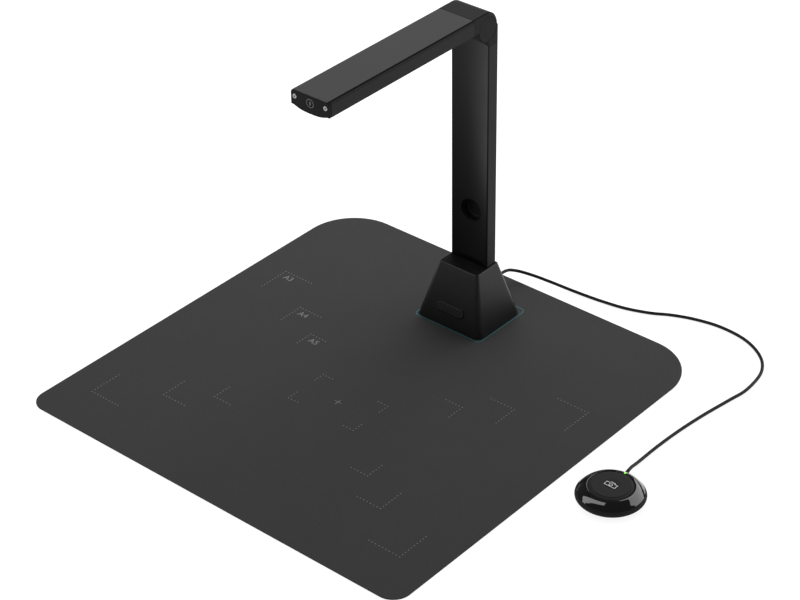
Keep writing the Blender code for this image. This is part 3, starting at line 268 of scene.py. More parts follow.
FINISHES = {
    "mat_rubber": dict(colour=(0.037, 0.037, 0.0374), roughness=0.7, specular=0.1, grain=0.3,
                       size=0.9 * MM, fleck=0.12),
    "base_satin": dict(colour=(0.006, 0.006, 0.0062), roughness=0.36, specular=0.42, grain=0.2,
                       size=0.4 * MM, fleck=0.1),
    "anodised_dark": dict(colour=(0.006, 0.006, 0.0062), roughness=0.38, specular=0.13, grain=0.25,
                          size=0.5 * MM, fleck=0.12),
    "anodised_panel": dict(colour=(0.006, 0.006, 0.0062), roughness=0.38, specular=0.23, grain=0.25,
                           size=0.5 * MM, fleck=0.12),
    "top_plate_grey": dict(colour=(0.047, 0.047, 0.048), roughness=0.5, specular=0.1, grain=0.2,
                           size=0.5 * MM, fleck=0.06),
    "black_plastic": dict(colour=(0.006, 0.006, 0.0062), roughness=0.5, specular=0.09, grain=0.2,
                          size=0.4 * MM, fleck=0.08),
    "hinge_plastic": dict(colour=(0.024, 0.024, 0.0243), roughness=0.5, specular=0.04, grain=0.15,
                          size=0.4 * MM, fleck=0.08),
    "pocket_black": dict(colour=(0.004, 0.004, 0.004), roughness=0.6, specular=0.2, grain=0.1,
                         fleck=0.1),
    "badge_dark": dict(colour=(0.012, 0.012, 0.0125), roughness=0.35, specular=0.4, grain=0.1,
                       fleck=0.06),
    "steel": dict(colour=(0.55, 0.55, 0.56), roughness=0.3, metallic=1.0, grain=0.15,
                  size=0.3 * MM, fleck=0.05),
    "bright_screw": dict(colour=(0.4, 0.4, 0.41), roughness=0.3, metallic=1.0, grain=0.05,
                         size=0.2 * MM, fleck=0.03),
    "rubber": dict(colour=(0.012, 0.012, 0.012), roughness=0.8, specular=0.2, grain=0.3,
                   fleck=0.1),
    "circuit_board": dict(colour=(0.01, 0.09, 0.035), roughness=0.45, grain=0.1, size=1.5 * MM,
                          fleck=0.25),
    "sensor_black": dict(colour=(0.008, 0.008, 0.009), roughness=0.3, grain=0.1, fleck=0.08),
    "lens_glass": dict(colour=(0.01, 0.012, 0.025), roughness=0.05, wander=0.01, coat=1.0,
                       fleck=0.1, size=3 * MM),
    "diffuser_white": dict(colour=(0.75, 0.75, 0.71), roughness=0.4, grain=0.05, fleck=0.02),
    "light_grey_print": dict(colour=(0.12, 0.12, 0.122), roughness=0.5, grain=0.05, fleck=0.06),
    "piano_black": dict(colour=(0.004, 0.004, 0.004), roughness=0.05, wander=0.01, coat=0.9,
                        fleck=0.05, size=2 * MM),
    "matte_black": dict(colour=(0.023, 0.023, 0.023), roughness=0.55, specular=0.06, grain=0.2,
                        size=0.4 * MM, fleck=0.1),
    "silver_icon": dict(colour=(0.5, 0.5, 0.5), roughness=0.35, grain=0.05, fleck=0.04),
    "led_green": dict(colour=(0.16, 0.8, 0.02), roughness=0.2, glow=1.6, fleck=0.03),
    "cord_black": dict(colour=(0.008, 0.0078, 0.0078), roughness=0.5, specular=0.25, grain=0.1,
                       fleck=0.08),
}
MATERIALS = {name: make_material(name + "_look", **values) for name, values in FINISHES.items()}
TEAL_INK = make_material("outline_ink", (0.01, 0.12, 0.13), 0.5, grain=0.05, fleck=0.08)
MARK_INK = make_material("mark_ink", (0.15, 0.15, 0.15), 0.6, grain=0.05, fleck=0.1)
FLOOR_PAINT = make_material("floor_paint", (0.2, 0.2, 0.2), 0.9, specular=0.1, fleck=0.005,
                            size=5 * MM, glow=4.5)


# ---------------- modelling helpers
def add(name, mesh):
    obj = bpy.data.objects.new(name, mesh)
    scene.collection.objects.link(obj)
    return obj


def from_bmesh(name, shape):
    bmesh.ops.recalc_face_normals(shape, faces=shape.faces)
    mesh = bpy.data.meshes.new(name)
    shape.to_mesh(mesh)
    shape.free()
    return add(name, mesh)


AXES = {
    "XY": lambda u, v, w: (u, v, w),
    "XZ": lambda u, v, w: (u, w, v),
    "YZ": lambda u, v, w: (w, u, v),
}


def loft(name, rings):
    """A closed solid through rings of equal length."""
    shape = bmesh.new()
    rows = [[shape.verts.new(point) for point in ring] for ring in rings]
    count = len(rows[0])
    for lower, upper in zip(rows, rows[1:]):
        for i in range(count):
            j = (i + 1) % count
            shape.faces.new((lower[i], lower[j], upper[j], upper[i]))
    shape.faces.new(rows[0])
    shape.faces.new(rows[-1])
    return from_bmesh(name, shape)


def prism(name, outline, low, high, plane="XY"):
    """An outline in a plane, carried from low to high along the remaining axis."""
    to_point = AXES[plane]
    return loft(name, [[to_point(u, v, w) for u, v in outline] for w in (low, high)])


def box(name, low, high):
    outline = [(low[0], low[1]), (high[0], low[1]), (high[0], high[1]), (low[0], high[1])]
    return prism(name, outline, low[2], high[2])


def facing(origin, direction=(0, 0, 1)):
    """Placement whose local Z runs along direction."""
    return (Matrix.Translation(origin)
            @ Vector(direction).to_track_quat("Z", "Y").to_matrix().to_4x4())


def turned(name, profile, place, steps=ROUND):
    """A solid turned from (radius, height) points; a ring when it never meets the axis."""
    shape = bmesh.new()
    rows = []
    for radius, height in profile:
        if radius == 0:
            rows.append([shape.verts.new(place @ Vector((0, 0, height)))] * steps)
            continue
        rows.append([shape.verts.new(place @ Vector((radius * math.cos(2 * math.pi * i / steps),
                                                     radius * math.sin(2 * math.pi * i / steps),
                                                     height))) for i in range(steps)])
    pairs = list(zip(rows, rows[1:]))
    if profile[0][0] > 0 or profile[-1][0] > 0:
        pairs.append((rows[-1], rows[0]))
    for a, b in pairs:
        for i in range(steps):
            j = (i + 1) % steps
            corners = [a[i], a[j], b[j], b[i]]
            corners = [v for k, v in enumerate(corners) if v not in corners[:k]]
            if len(corners) > 2:
                shape.faces.new(corners)
    return from_bmesh(name, shape)


def rod(name, place, radius, low, high, steps=ROUND):
    return turned(name, [(0, low), (radius, low), (radius, high), (0, high)], place, steps)


def arc(centre, radius, start, end, steps):
    angles = [math.radians(start + (end - start) * i / steps) for i in range(steps + 1)]
    return [(centre[0] + radius * math.cos(a), centre[1] + radius * math.sin(a)) for a in angles]


def smooth_line(points, steps):
    """Points of a smooth line through the given ones (Catmull-Rom)."""
    padded = [2 * points[0] - points[1]] + points + [2 * points[-1] - points[-2]]
    line = []
    for a, b, c, d in zip(padded, padded[1:], padded[2:], padded[3:]):
        for k in range(steps):
            t = k / steps
            line.append(0.5 * (2 * b + (c - a) * t + (2 * a - 5 * b + 4 * c - d) * t ** 2
                               + (3 * b - a - 3 * c + d) * t ** 3))
    return line + [points[-1]]


def lower_edge(radius, low, size, steps):
    """Rounded lower edge of a turned piece, from its side to its flat end."""
    turns = [math.radians(90 * i / steps) for i in range(steps + 1)]
    return [(radius - size * (1 - math.cos(a)), low + size * (1 - math.sin(a))) for a in turns]


def rounded_outline(corners, steps=10):
    """Corners are (x, y, radius of the rounding)."""
    outline = []
    for i, (x, y, radius) in enumerate(corners):
        if radius == 0:
            outline.append((x, y))
            continue
        corner = Vector((x, y))
        before = (Vector(corners[i - 1][:2]) - corner).normalized()
        after = (Vector(corners[(i + 1) % len(corners)][:2]) - corner).normalized()
        half = before.angle(after) / 2
        centre = corner + (before + after).normalized() * (radius / math.sin(half))
        start = corner + before * (radius / math.tan(half)) - centre
        end = corner + after * (radius / math.tan(half)) - centre
        turn = start.angle_signed(end)
        first = math.atan2(start.y, start.x)
        for k in range(steps + 1):
            angle = first - turn * k / steps
            outline.append((centre.x + radius * math.cos(angle),
                            centre.y + radius * math.sin(angle)))
    return outline


def rounded_rectangle(width, depth, radius, centre=(0, 0), steps=10):
    x, y = width / 2, depth / 2
    outline = rounded_outline([(x, -y, radius), (x, y, radius), (-x, y, radius), (-x, -y, radius)],
                              steps)
    return [(u + centre[0], v + centre[1]) for u, v in outline]


def bowed(half_width, edge, bow, steps=40):
    fractions = [-1 + 2 * i / steps for i in range(steps + 1)]
    return [(half_width * f, edge + bow * (1 - f * f)) for f in fractions]


def bake(obj):
    """Replaces the mesh by what its modifiers make of it."""
    graph = bpy.context.evaluated_depsgraph_get()
    mesh = bpy.data.meshes.new_from_object(obj.evaluated_get(graph))
    mesh.name = obj.name
    obj.modifiers.clear()
    obj.data = mesh
    return obj


def combine(obj, others, operation):
    for other in others:
        modifier = obj.modifiers.new(operation.lower(), "BOOLEAN")
        modifier.operation = operation
        modifier.solver = "EXACT"
        modifier.object = other
    bake(obj)
    for other in others:
        bpy.data.objects.remove(other, do_unlink=True)
    return obj


def cut(obj, *others):
    return combine(obj, others, "DIFFERENCE")


def fuse(obj, *others):
    return combine(obj, others, "UNION")


def soften(obj, width, segments=3, limit=28):
    modifier = obj.modifiers.new("round", "BEVEL")
    modifier.width = width
    modifier.segments = segments
    modifier.limit_method = "ANGLE"
    modifier.angle_limit = math.radians(limit)
    modifier.use_clamp_overlap = True
    return bake(obj)


def dress(obj, body, finish, nodes=(), sharp=32, material=None):
    """Shading, finish and body for a finished piece; the CAD nodes it replaces are hidden."""
    obj.data.shade_smooth()
    obj.data.set_sharp_from_angle(angle=math.radians(sharp))
    weights = obj.modifiers.new("weights", "WEIGHTED_NORMAL")
    weights.keep_sharp = True
    obj.data.materials.clear()
    obj.data.materials.append(material or MATERIALS[finish])
    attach(obj, body)
    if nodes:
        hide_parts(*nodes)
    return obj


# ---------------- cord, plug and reliefs
def polar(radius, angle, height):
    return Vector((PUCK_X + radius * math.cos(angle), PUCK_Y + radius * math.sin(angle), height))


RELIEF_ORIGIN = polar(PUCK_RADIUS - 0.5 * MM, RELIEF_ANGLE, RELIEF_Z)


def smooth_route(points, spacing):
    """Evenly spaced points of the cord along a route, and the route's length."""
    fine = smooth_line(points, ROUTE_STEPS)
    lengths = [0.0]
    for p, q in zip(fine, fine[1:]):
        lengths.append(lengths[-1] + (q - p).length)
    count = round(lengths[-1] / spacing)
    result = []
    index = 0
    for k in range(count + 1):
        target = lengths[-1] * k / count
        while index < len(fine) - 2 and lengths[index + 1] < target:
            index += 1
        span = lengths[index + 1] - lengths[index]
        position = fine[index].lerp(fine[index + 1], (target - lengths[index]) / span)
        position.z = max(position.z, CORD_RADIUS + CORD_LIFT)
        result.append(position)
    return result, lengths[-1]


def build_plug():
    body_low, body_high = PLUG_BODY_Y
    plug = prism("plug_body", rounded_rectangle(*PLUG_BODY_SIZE, 1.6 * MM, (PLUG_X, PLUG_Z)),
                 body_low, body_high, "XZ")
    dress(soften(plug, 0.8 * MM), "stand", "cord_black", ["usb_plug_body"])
    half_x, half_z = PLUG_SHELL_HALF
    shell = box("plug_shell", (PLUG_X - half_x, PLUG_TIP_Y, PLUG_Z - half_z),
                (PLUG_X + half_x, body_low - GAP, PLUG_Z + half_z))
    mouth_half = 5.6 * MM
    mouth_end_y = 197 * MM
    shell = cut(shell, box("plug_mouth", (PLUG_X - mouth_half, 180 * MM, PLUG_Z - 1.9 * MM),
                           (PLUG_X + mouth_half, mouth_end_y, PLUG_Z + 0.4 * MM)))
    dress(shell, "stand", "steel", ["usb_plug_shell"])


def build_plug_sleeve():
    """Tapered sleeve with ribs, narrowing towards the cord."""
    start = PLUG_BODY_Y[1] + GAP
    length = PLUG_RELIEF_END_Y - start
    groove = 0.35 * MM
    chamfer = 0.25 * MM
    profile = [(0, 0)]
    ribs = 5
    for i in range(ribs):
        low = length * i / ribs
        high = length * (i + 0.72) / ribs
        radius = (3.2 - 1.0 * i / (ribs - 1)) * MM
        profile += [(radius - groove, low), (radius, low + chamfer), (radius, high - chamfer),
                    (radius - groove, high)]
    profile += [(2.0 * MM, length), (0, length)]
    sleeve = turned("plug_sleeve", profile, facing((PLUG_X, start, PLUG_Z), INWARD), 40)
    dress(sleeve, "stand", "cord_black", ["usb_plug_relief"])


def build_button_sleeve():
    """Ribbed sleeve where the cord enters the hand button."""
    profile = [(0, -4 * MM), (2.4 * MM, -4 * MM), (2.4 * MM, 1.2 * MM), (2.3 * MM, 1.5 * MM)]
    for i in range(3):
        low = (1.8 + 1.25 * i) * MM
        radius = (2.2 - 0.1 * i) * MM
        profile += [(radius - 0.15 * MM, low), (radius, low + 0.15 * MM), (radius, low + 0.75 * MM),
                    (radius - 0.15 * MM, low + 0.9 * MM)]
    profile += [(1.9 * MM, RELIEF_LENGTH), (0, RELIEF_LENGTH)]
    sleeve = turned("button_sleeve", profile, facing(RELIEF_ORIGIN, RELIEF_OUT), 40)
    dress(sleeve, "stand", "cord_black", ["puck_cord_relief"])


def build_cord():
    first = Vector((PLUG_X, PLUG_RELIEF_END_Y + CORD_END_GAP, PLUG_Z))
    last = RELIEF_ORIGIN + RELIEF_OUT * (RELIEF_LENGTH + CORD_END_GAP)
    route = [first] + [Vector(point) * MM for point in CORD_ROUTE] + [last]
    points, length = smooth_route(route, CORD_STEP)
    curve = bpy.data.curves.new("cord", "CURVE")
    curve.dimensions = "3D"
    curve.bevel_depth = CORD_RADIUS
    curve.bevel_resolution = 6
    curve.use_fill_caps = True
    spline = curve.splines.new("POLY")
    spline.points.add(len(points) - 1)
    for point, position in zip(spline.points, points):
        point.co = (*position, 1)
    spline.use_smooth = True
    curve.materials.append(MATERIALS["cord_black"])
    cord = bpy.data.objects.new("cord", curve)
    scene.collection.objects.link(cord)
    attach(cord, "stand")
    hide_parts("button_cord")


# ---------------- scanning mat and its print
def flat_print(name, shape, material, finish=None):
    """Thin ink: flat faces drawn at the mat's top, given a hair of thickness."""
    low = MAT_THICK - INK_LOW
    flat = list(shape.faces)
    bmesh.ops.translate(shape, verts=shape.verts, vec=(0, 0, low))
    raised = bmesh.ops.extrude_face_region(shape, geom=flat, use_keep_orig=True)
    verts = [v for v in raised["geom"] if isinstance(v, bmesh.types.BMVert)]
    bmesh.ops.translate(shape, verts=verts, vec=(0, 0, INK_THICK))
    obj = from_bmesh(name, shape)
    return dress(obj, "stand", finish, material=material)


def dot(shape, x, y, radius, steps=12):
    ring = [shape.verts.new((x + radius * math.cos(2 * math.pi * i / steps),
                             y + radius * math.sin(2 * math.pi * i / steps), 0))
            for i in range(steps)]
    shape.faces.new(ring)


def bar(shape, low, high):
    shape.faces.new([shape.verts.new((x, y, 0)) for x, y in
                     ((low[0], low[1]), (high[0], low[1]), (high[0], high[1]), (low[0], high[1]))])


def build_mat():
    half = MAT_SIDE / 2
    corners = [(half, -half, MAT_NEAR_RADIUS), (half, half, MAT_FAR_RADIUS),
               (-half, half, MAT_FAR_RADIUS), (-half, -half, MAT_NEAR_RADIUS)]
    outline = [(x + MAT_X, y) for x, y in rounded_outline(corners, 24)]
    mat = prism("mat", outline, 0, MAT_THICK)
    dress(soften(mat, 0.35 * MM, 2), "stand", "mat_rubber", ["scan_mat"])


def print_page_corners():
    shape = bmesh.new()
    for width, depth, count in PAGES:
        for sx in (-1, 1):
            for sy in (-1, 1):
                x = sx * width / 2 * MM
                y = PAGE_Y + sy * depth / 2 * MM
                dot(shape, x, y, DOT_RADIUS)
                for k in range(1, count):
                    dot(shape, x - sx * DOT_PITCH * k, y, DOT_RADIUS)
                    dot(shape, x, y - sy * DOT_PITCH * k, DOT_RADIUS)
    flat_print("page_marks", shape, MARK_INK)


def print_centre_cross():
    reach, half = CROSS_REACH, CROSS_HALF
    shape = bmesh.new()
    bar(shape, (-reach, PAGE_Y - half), (reach, PAGE_Y + half))
    bar(shape, (-half, PAGE_Y + half), (half, PAGE_Y + reach))
    bar(shape, (-half, PAGE_Y - reach), (half, PAGE_Y - half))
    flat_print("page_centre", shape, MARK_INK)


def print_labels():
    for text, (width, depth, _) in zip(LABELS, PAGES):
        curve = bpy.data.curves.new("label", "FONT")
        curve.body = text
        curve.size = LABEL_SIZE
        label = add("label_" + text, curve)
        graph = bpy.context.evaluated_depsgraph_get()
        mesh = bpy.data.meshes.new_from_object(label.evaluated_get(graph))
        bpy.data.objects.remove(label, do_unlink=True)
        mesh.transform(Matrix.Translation((-width / 2 * MM + LABEL_INSET[0],
                                           PAGE_Y + depth / 2 * MM - LABEL_INSET[1], 0)))
        shape = bmesh.new()
        shape.from_mesh(mesh)
        bmesh.ops.remove_doubles(shape, verts=shape.verts, dist=1e-6)
        flat_print("page_label_" + text, shape, MARK_INK)


def print_stand_outline():
    """Line that shows where the stand goes."""
    width, depth = OUTLINE_SIZE
    line = OUTLINE_LINE
    outer = rounded_rectangle(width, depth, OUTLINE_RADIUS, OUTLINE_CENTRE, 12)
    inner = rounded_rectangle(width - 2 * line, depth - 2 * line, OUTLINE_RADIUS - line,
                              OUTLINE_CENTRE, 12)
    shape = bmesh.new()
    outer = [shape.verts.new((x, y, 0)) for x, y in outer]
    inner = [shape.verts.new((x, y, 0)) for x, y in inner]
    for i in range(len(outer)):
        j = (i + 1) % len(outer)
        shape.faces.new((outer[i], outer[j], inner[j], inner[i]))
    flat_print("stand_outline", shape, TEAL_INK)


# ---------------- base of the stand
def base_section(height):
    t = (height - MAT_THICK) / (BASE_TOP_Z - MAT_THICK)

    def blend(low, high):
        return low + (high - low) * t

    return (blend(BASE_Y, BASE_TOP_Y), blend(BASE_FOOT_SIZE[0], BASE_TOP_SIZE[0]),
            blend(BASE_FOOT_SIZE[1], BASE_TOP_SIZE[1]), blend(BASE_FOOT_RADIUS, BASE_TOP_RADIUS))


def base_face_y(height, side):
    centre, _, depth, _ = base_section(height)
    return centre + side * depth / 2


def base_loft(name, inset, low, high, edge):
    levels = [(low + (high - edge - low) * i / 8, inset) for i in range(9)]
    for step in range(1, 9):
        angle = math.radians(90 * step / 8)
        levels.append((high - edge + edge * math.sin(angle), inset + edge * (1 - math.cos(angle))))
    rings = []
    for height, ring_inset in levels:
        centre, width, depth, radius = base_section(height)
        outline = rounded_rectangle(width - 2 * ring_inset, depth - 2 * ring_inset,
                                    max(radius - ring_inset, 0.8 * MM), (0, centre), 12)
        rings.append([(x, y, height) for x, y in outline])
    return loft(name, rings)


def badge_ring(inset, height):
    """The badge's outline, drawn in by inset, at a height over the base's sloping front."""
    width, depth = BADGE_SIZE
    outline = rounded_rectangle(width - 2 * inset, depth - 2 * inset,
                                depth / 2 - 0.1 * MM - inset, steps=24)
    slope = math.atan2(base_face_y(BASE_TOP_Z, -1) - base_face_y(MAT_THICK, -1),
                       BASE_TOP_Z - MAT_THICK)
    face = Vector((0, base_face_y(BADGE_Z, -1), BADGE_Z))
    along = Vector((1, 0, 0))
    up_face = Vector((0, math.sin(slope), math.cos(slope)))
    out = Vector((0, -math.cos(slope), math.sin(slope)))
    return [face + along * u + up_face * v + out * height for u, v in outline]


def build_housing():
    past = 5 * MM                  # how far the cutters reach past a face
    socket_depth = 8 * MM
    housing = base_loft("base_shell", 0, BASE_BOTTOM_Z, BASE_TOP_Z, BASE_EDGE_RADIUS)
    hollow = base_loft("hollow", BASE_WALL, BASE_BOTTOM_Z - 2 * MM, BASE_TOP_Z - BASE_WALL, 0.5 * MM)
    slot = box("slot", (-POST_HALF - GAP, POST_FRONT_Y - GAP, BASE_TOP_Z - socket_depth),
               (POST_HALF + GAP, POST_BACK_Y + GAP, BASE_TOP_Z + past))
    recess = loft("recess", [badge_ring(0, -BADGE_DEPTH), badge_ring(0, BADGE_DEPTH)])
    rear = base_face_y(PLUG_Z, 1)
    half_x, half_z = PLUG_HOLE_HALF
    plug_hole = box("plug_hole", (PLUG_X - half_x, rear - past, PLUG_Z - half_z),
                    (PLUG_X + half_x, rear + past, PLUG_Z + half_z))
    inlet_hole = prism("inlet_hole", rounded_rectangle(*USB_C_SIZE, USB_C_RADIUS,
                                                       (USB_C_X, USB_C_Z)),
                       rear - past, rear + past, "XZ")
    dress(cut(housing, hollow, slot, recess, plug_hole, inlet_hole), "stand", "base_satin",
          ["base_housing"])


def build_badge():
    """Badge plate with a broad soft edge."""
    edge = 0.9 * MM
    rings = [badge_ring(GAP, -BADGE_DEPTH + GAP)]
    for degrees in range(0, 91, 15):
        angle = math.radians(degrees)
        rings.append(badge_ring(GAP + edge * (1 - math.cos(angle)),
                                BADGE_PROUD - edge * (1 - math.sin(angle))))
    dress(loft("badge_plate", rings), "stand", "badge_dark", ["base_badge"])


def build_feet():
    foot_x, foot_y = FOOT_PLACE
    radius, height = 6 * MM, 1.2 * MM
    for x_name, x_sign in SIDES.items():
        for y_name, y_sign in (("front", -1), ("rear", 1)):
            place = facing((x_sign * foot_x, BASE_Y + y_sign * foot_y, MAT_THICK + GAP))
            profile = [(0, 0), (5.6 * MM, 0), (radius, 0.3 * MM), (radius, height), (0, height)]
            pad = turned(f"foot_{y_name}_{x_name}", profile, place, 48)
            dress(pad, "stand", "rubber", [f"base_foot_{y_name}_{x_name}"])


# ---------------- post
def build_post():
    inner = POST_HALF - POST_WALL
    back = POST_BACK_Y - POST_BACK_WALL
    front_corner, inner_corner = 0.5 * MM, 1.8 * MM
    section = [(-POST_HALF, POST_FRONT_Y, front_corner), (-POST_HALF, POST_BACK_Y, POST_CORNER),
               (POST_HALF, POST_BACK_Y, POST_CORNER), (POST_HALF, POST_FRONT_Y, front_corner),
               (inner, POST_FRONT_Y, 0), (inner, back, inner_corner),
               (-inner, back, inner_corner), (-inner, POST_FRONT_Y, 0)]
    channel = prism("post_shell", rounded_outline(section, 8), POST_FOOT_Z, POST_TOP_Z)
    dress(soften(channel, 0.15 * MM, 2, 50), "stand", "anodised_dark", ["post_channel"])

    half = inner - GAP
    front = bowed(half, POST_FRONT_Y, POST_HOLLOW, 48)
    thick = 2 * MM
    overlap = 6 * MM               # how far the panel reaches down into the base
    outline = front + [(x, y + thick) for x, y in reversed(front)]
    panel = prism("post_face", outline, BASE_TOP_Z - overlap, POST_TOP_Z)
    reach = 15 * MM
    hole = rod("hole", facing((0, POST_FRONT_Y - reach, POCKET_Z), INWARD), POCKET_RADIUS, 0,
               2 * reach)
    dress(cut(panel, hole), "stand", "anodised_panel", ["post_front_panel"])


def build_pocket_cup():
    outer = POCKET_RADIUS - GAP
    wall = 0.8 * MM
    rim_y = POST_FRONT_Y + POST_HOLLOW + 0.4 * MM
    depth = POST_BACK_Y - POST_BACK_WALL - GAP - rim_y
    floor = 0.9 * MM
    fillet_radius = 3 * MM
    fillet = arc((outer - wall - fillet_radius, depth - floor - fillet_radius), fillet_radius,
                 0, 90, 9)
    chamfer = 0.15 * MM
    profile = [(0, depth), (outer, depth), (outer, chamfer), (outer - chamfer, 0),
               (outer - wall + chamfer, 0), (outer - wall, chamfer)] + fillet
    profile += [(0, depth - floor)]
    cup = turned("pocket_cup", profile, facing((0, rim_y, POCKET_Z), INWARD))
    dress(cup, "stand", "pocket_black", ["lens_pocket_cup"])


# ---------------- hinge
HINGE_AXIS = (0, HINGE_Y, HINGE_Z)


def build_hinge_bracket():
    half = POST_HALF
    block_low = POST_TOP_Z + GAP
    block_high = HINGE_Z - 12 * MM
    front = bowed(half, POST_FRONT_Y, POST_HOLLOW, 48)
    rear = rounded_outline([(half, POST_FRONT_Y, 0), (half, POST_BACK_Y, POST_CORNER),
                            (-half, POST_BACK_Y, POST_CORNER), (-half, POST_FRONT_Y, 0)], 10)[1:-1]
    bracket = prism("hinge_bracket", front + rear, block_low, block_high)
    neck_y = HINGE_Y + 8 * MM
    neck = prism("neck", rounded_outline([(-half, neck_y, 0), (half, neck_y, 0),
                                          (half, POST_BACK_Y, POST_CORNER),
                                          (-half, POST_BACK_Y, POST_CORNER)], 10),
                 (block_low + block_high) / 2, HINGE_Z - 0.5 * MM)
    across = facing(HINGE_AXIS, (1, 0, 0))
    barrel_half = half - CAP_THICK - GAP
    barrel = rod("barrel", across, BARREL_RADIUS, -barrel_half, barrel_half)
    # Tongue that holds the bracket in the post
    spigot = box("spigot", (-21 * MM, 177.2 * MM, 305 * MM), (21 * MM, 180.4 * MM, 336 * MM))
    fuse(bracket, neck, barrel, spigot)
    slot_half = LUG_HALF + GAP + WASHER_THICK + GAP
    slot = box("slot", (-slot_half, HINGE_Y - 20 * MM, HINGE_Z - 16 * MM),
               (slot_half, HINGE_Y + 3.4 * MM, HINGE_Z + 20 * MM))
    slot_round = rod("slot_round", across, LUG_RADIUS + 0.5 * MM, -slot_half, slot_half)
    pin_bore, nut_bore = 3.3 * MM, 6.4 * MM
    nut_depth = 3.3 * MM
    bore = rod("bore", across, pin_bore, -2 * half, 2 * half, 48)
    cutters = [slot, slot_round, bore]
    for sign in SIDES.values():
        low, high = sorted((sign * barrel_half, sign * (barrel_half + 10 * MM)))
        cutters.append(rod("recess", across, BARREL_RADIUS + GAP, low, high))
        low, high = sorted((sign * (barrel_half - nut_depth), sign * (barrel_half + nut_depth)))
        cutters.append(rod("counterbore", across, nut_bore, low, high, 48))
    dress(cut(bracket, *cutters), "stand", "hinge_plastic", ["post_hinge_bracket"])


def build_hinge_caps():
    edge = 0.35 * MM
    rim = arc((BARREL_RADIUS - edge, CAP_THICK - edge), edge, 0, 90, 6)
    for side, sign in SIDES.items():
        place = facing(((POST_HALF - CAP_THICK) * sign, HINGE_Y, HINGE_Z), (sign, 0, 0))
        disc = turned(f"hinge_disc_{side}", [(0, 0), (BARREL_RADIUS, 0)] + rim + [(0, CAP_THICK)],
                      place)
        dress(disc, "stand", "hinge_plastic", [f"hinge_cap_{side}"])


# ---------------- arm
def belly_z(x):
    return ARM_LIP_Z - BELLY_STEP - BELLY_DROP * (1 - abs(x / BELLY_HALF) ** BELLY_POWER)


def belly_curve(inset=0.0, steps=40):
    line = [BELLY_HALF * (1 - 2 * i / steps) for i in range(steps + 1)]
    return [(x, belly_z(x) + inset) for x in line]


def build_arm():
    half = ARM_HALF
    metal_front_y = ARM_FRONT_Y + END_CAP_THICK + GAP
    inner = half - ARM_WALL
    lip_half = BELLY_HALF + GAP
    lip_top = ARM_LIP_Z + 1.4 * MM
    section = [(lip_half, ARM_LIP_Z), (half, ARM_LIP_Z), (half, ARM_SIDE_TOP_Z),
               (ARM_DECK_HALF, ARM_DECK_Z)]
    corner = 1 * MM
    hollow = [(inner - corner, ARM_DECK_Z - ARM_WALL), (inner, ARM_SIDE_TOP_Z - corner),
              (inner, lip_top), (lip_half, lip_top)]
    outline = section + [(-x, z) for x, z in reversed(section)]
    outline += [(-x, z) for x, z in reversed(hollow)] + hollow
    channel = prism("arm_shell", outline, metal_front_y, ARM_METAL_END_Y, "XZ")
    dress(soften(channel, 0.2 * MM, 2, 25), "arm", "anodised_dark", ["arm_channel"])

    plate = box("arm_plate", (-PLATE_HALF, ARM_FRONT_Y, ARM_DECK_Z + GAP),
                (PLATE_HALF, ARM_METAL_END_Y, ARM_TOP_Z))
    dress(soften(plate, 0.6 * MM, 4), "arm", "top_plate_grey", ["arm_top_plate"])

    belly = prism("arm_belly", belly_curve() + list(reversed(belly_curve(BELLY_WALL))),
                  metal_front_y, ARM_METAL_END_Y, "XZ")
    reach = 12 * MM                # how far the cutters reach past the belly
    lens_hole = rod("hole", facing((0, LENS_Y, ARM_LIP_Z)), LENS_RADIUS + GAP, -reach, reach)
    window = prism("window", rounded_rectangle(*LIGHT_HOLE_SIZE, LIGHT_HOLE_RADIUS,
                                               (0, LENS_Y + LIGHT_OFFSET)),
                   ARM_LIP_Z - reach, ARM_LIP_Z + reach)
    dress(cut(belly, lens_hole, window), "arm", "black_plastic", ["arm_bottom_cover"])


def build_end_cap():
    half = ARM_HALF
    outline = [(half, ARM_LIP_Z), (half, ARM_SIDE_TOP_Z), (ARM_DECK_HALF, ARM_DECK_Z),
               (-ARM_DECK_HALF, ARM_DECK_Z), (-half, ARM_SIDE_TOP_Z), (-half, ARM_LIP_Z)]
    outline += list(reversed(belly_curve(steps=24)))
    back_y = ARM_FRONT_Y + END_CAP_THICK
    cap = soften(prism("end_cap", outline, ARM_FRONT_Y, back_y, "XZ"), 0.35 * MM, 3)
    cutters = [rod("pocket", facing((0, ARM_FRONT_Y, TOUCH_Z), INWARD), TOUCH_RECESS_RADIUS, -MM,
                   TOUCH_RECESS_DEPTH, 64)]
    slot_half, slot_depth = 0.7 * MM, 1.5 * MM
    for i in range(SLOT_COUNT):
        x = (i - SLOT_COUNT // 2) * SLOT_PITCH
        z = belly_z(x)
        cutters.append(box("notch", (x - slot_half, ARM_FRONT_Y - MM, z + 0.9 * MM),
                           (x + slot_half, ARM_FRONT_Y + slot_depth, z + 2.4 * MM)))
    seat_radius, seat_depth, bore_radius = 2.8 * MM, 1.8 * MM, 1.5 * MM
    for sign in SIDES.values():
        place = facing((sign * CAP_SCREW_X, ARM_FRONT_Y, CAP_SCREW_Z), INWARD)
        cutters.append(rod("seat", place, seat_radius, -seat_depth, seat_depth, 48))
        cutters.append(rod("bore", place, bore_radius, -10 * MM, 10 * MM, 32))
    dress(cut(cap, *cutters), "arm", "black_plastic", ["arm_end_cap"])


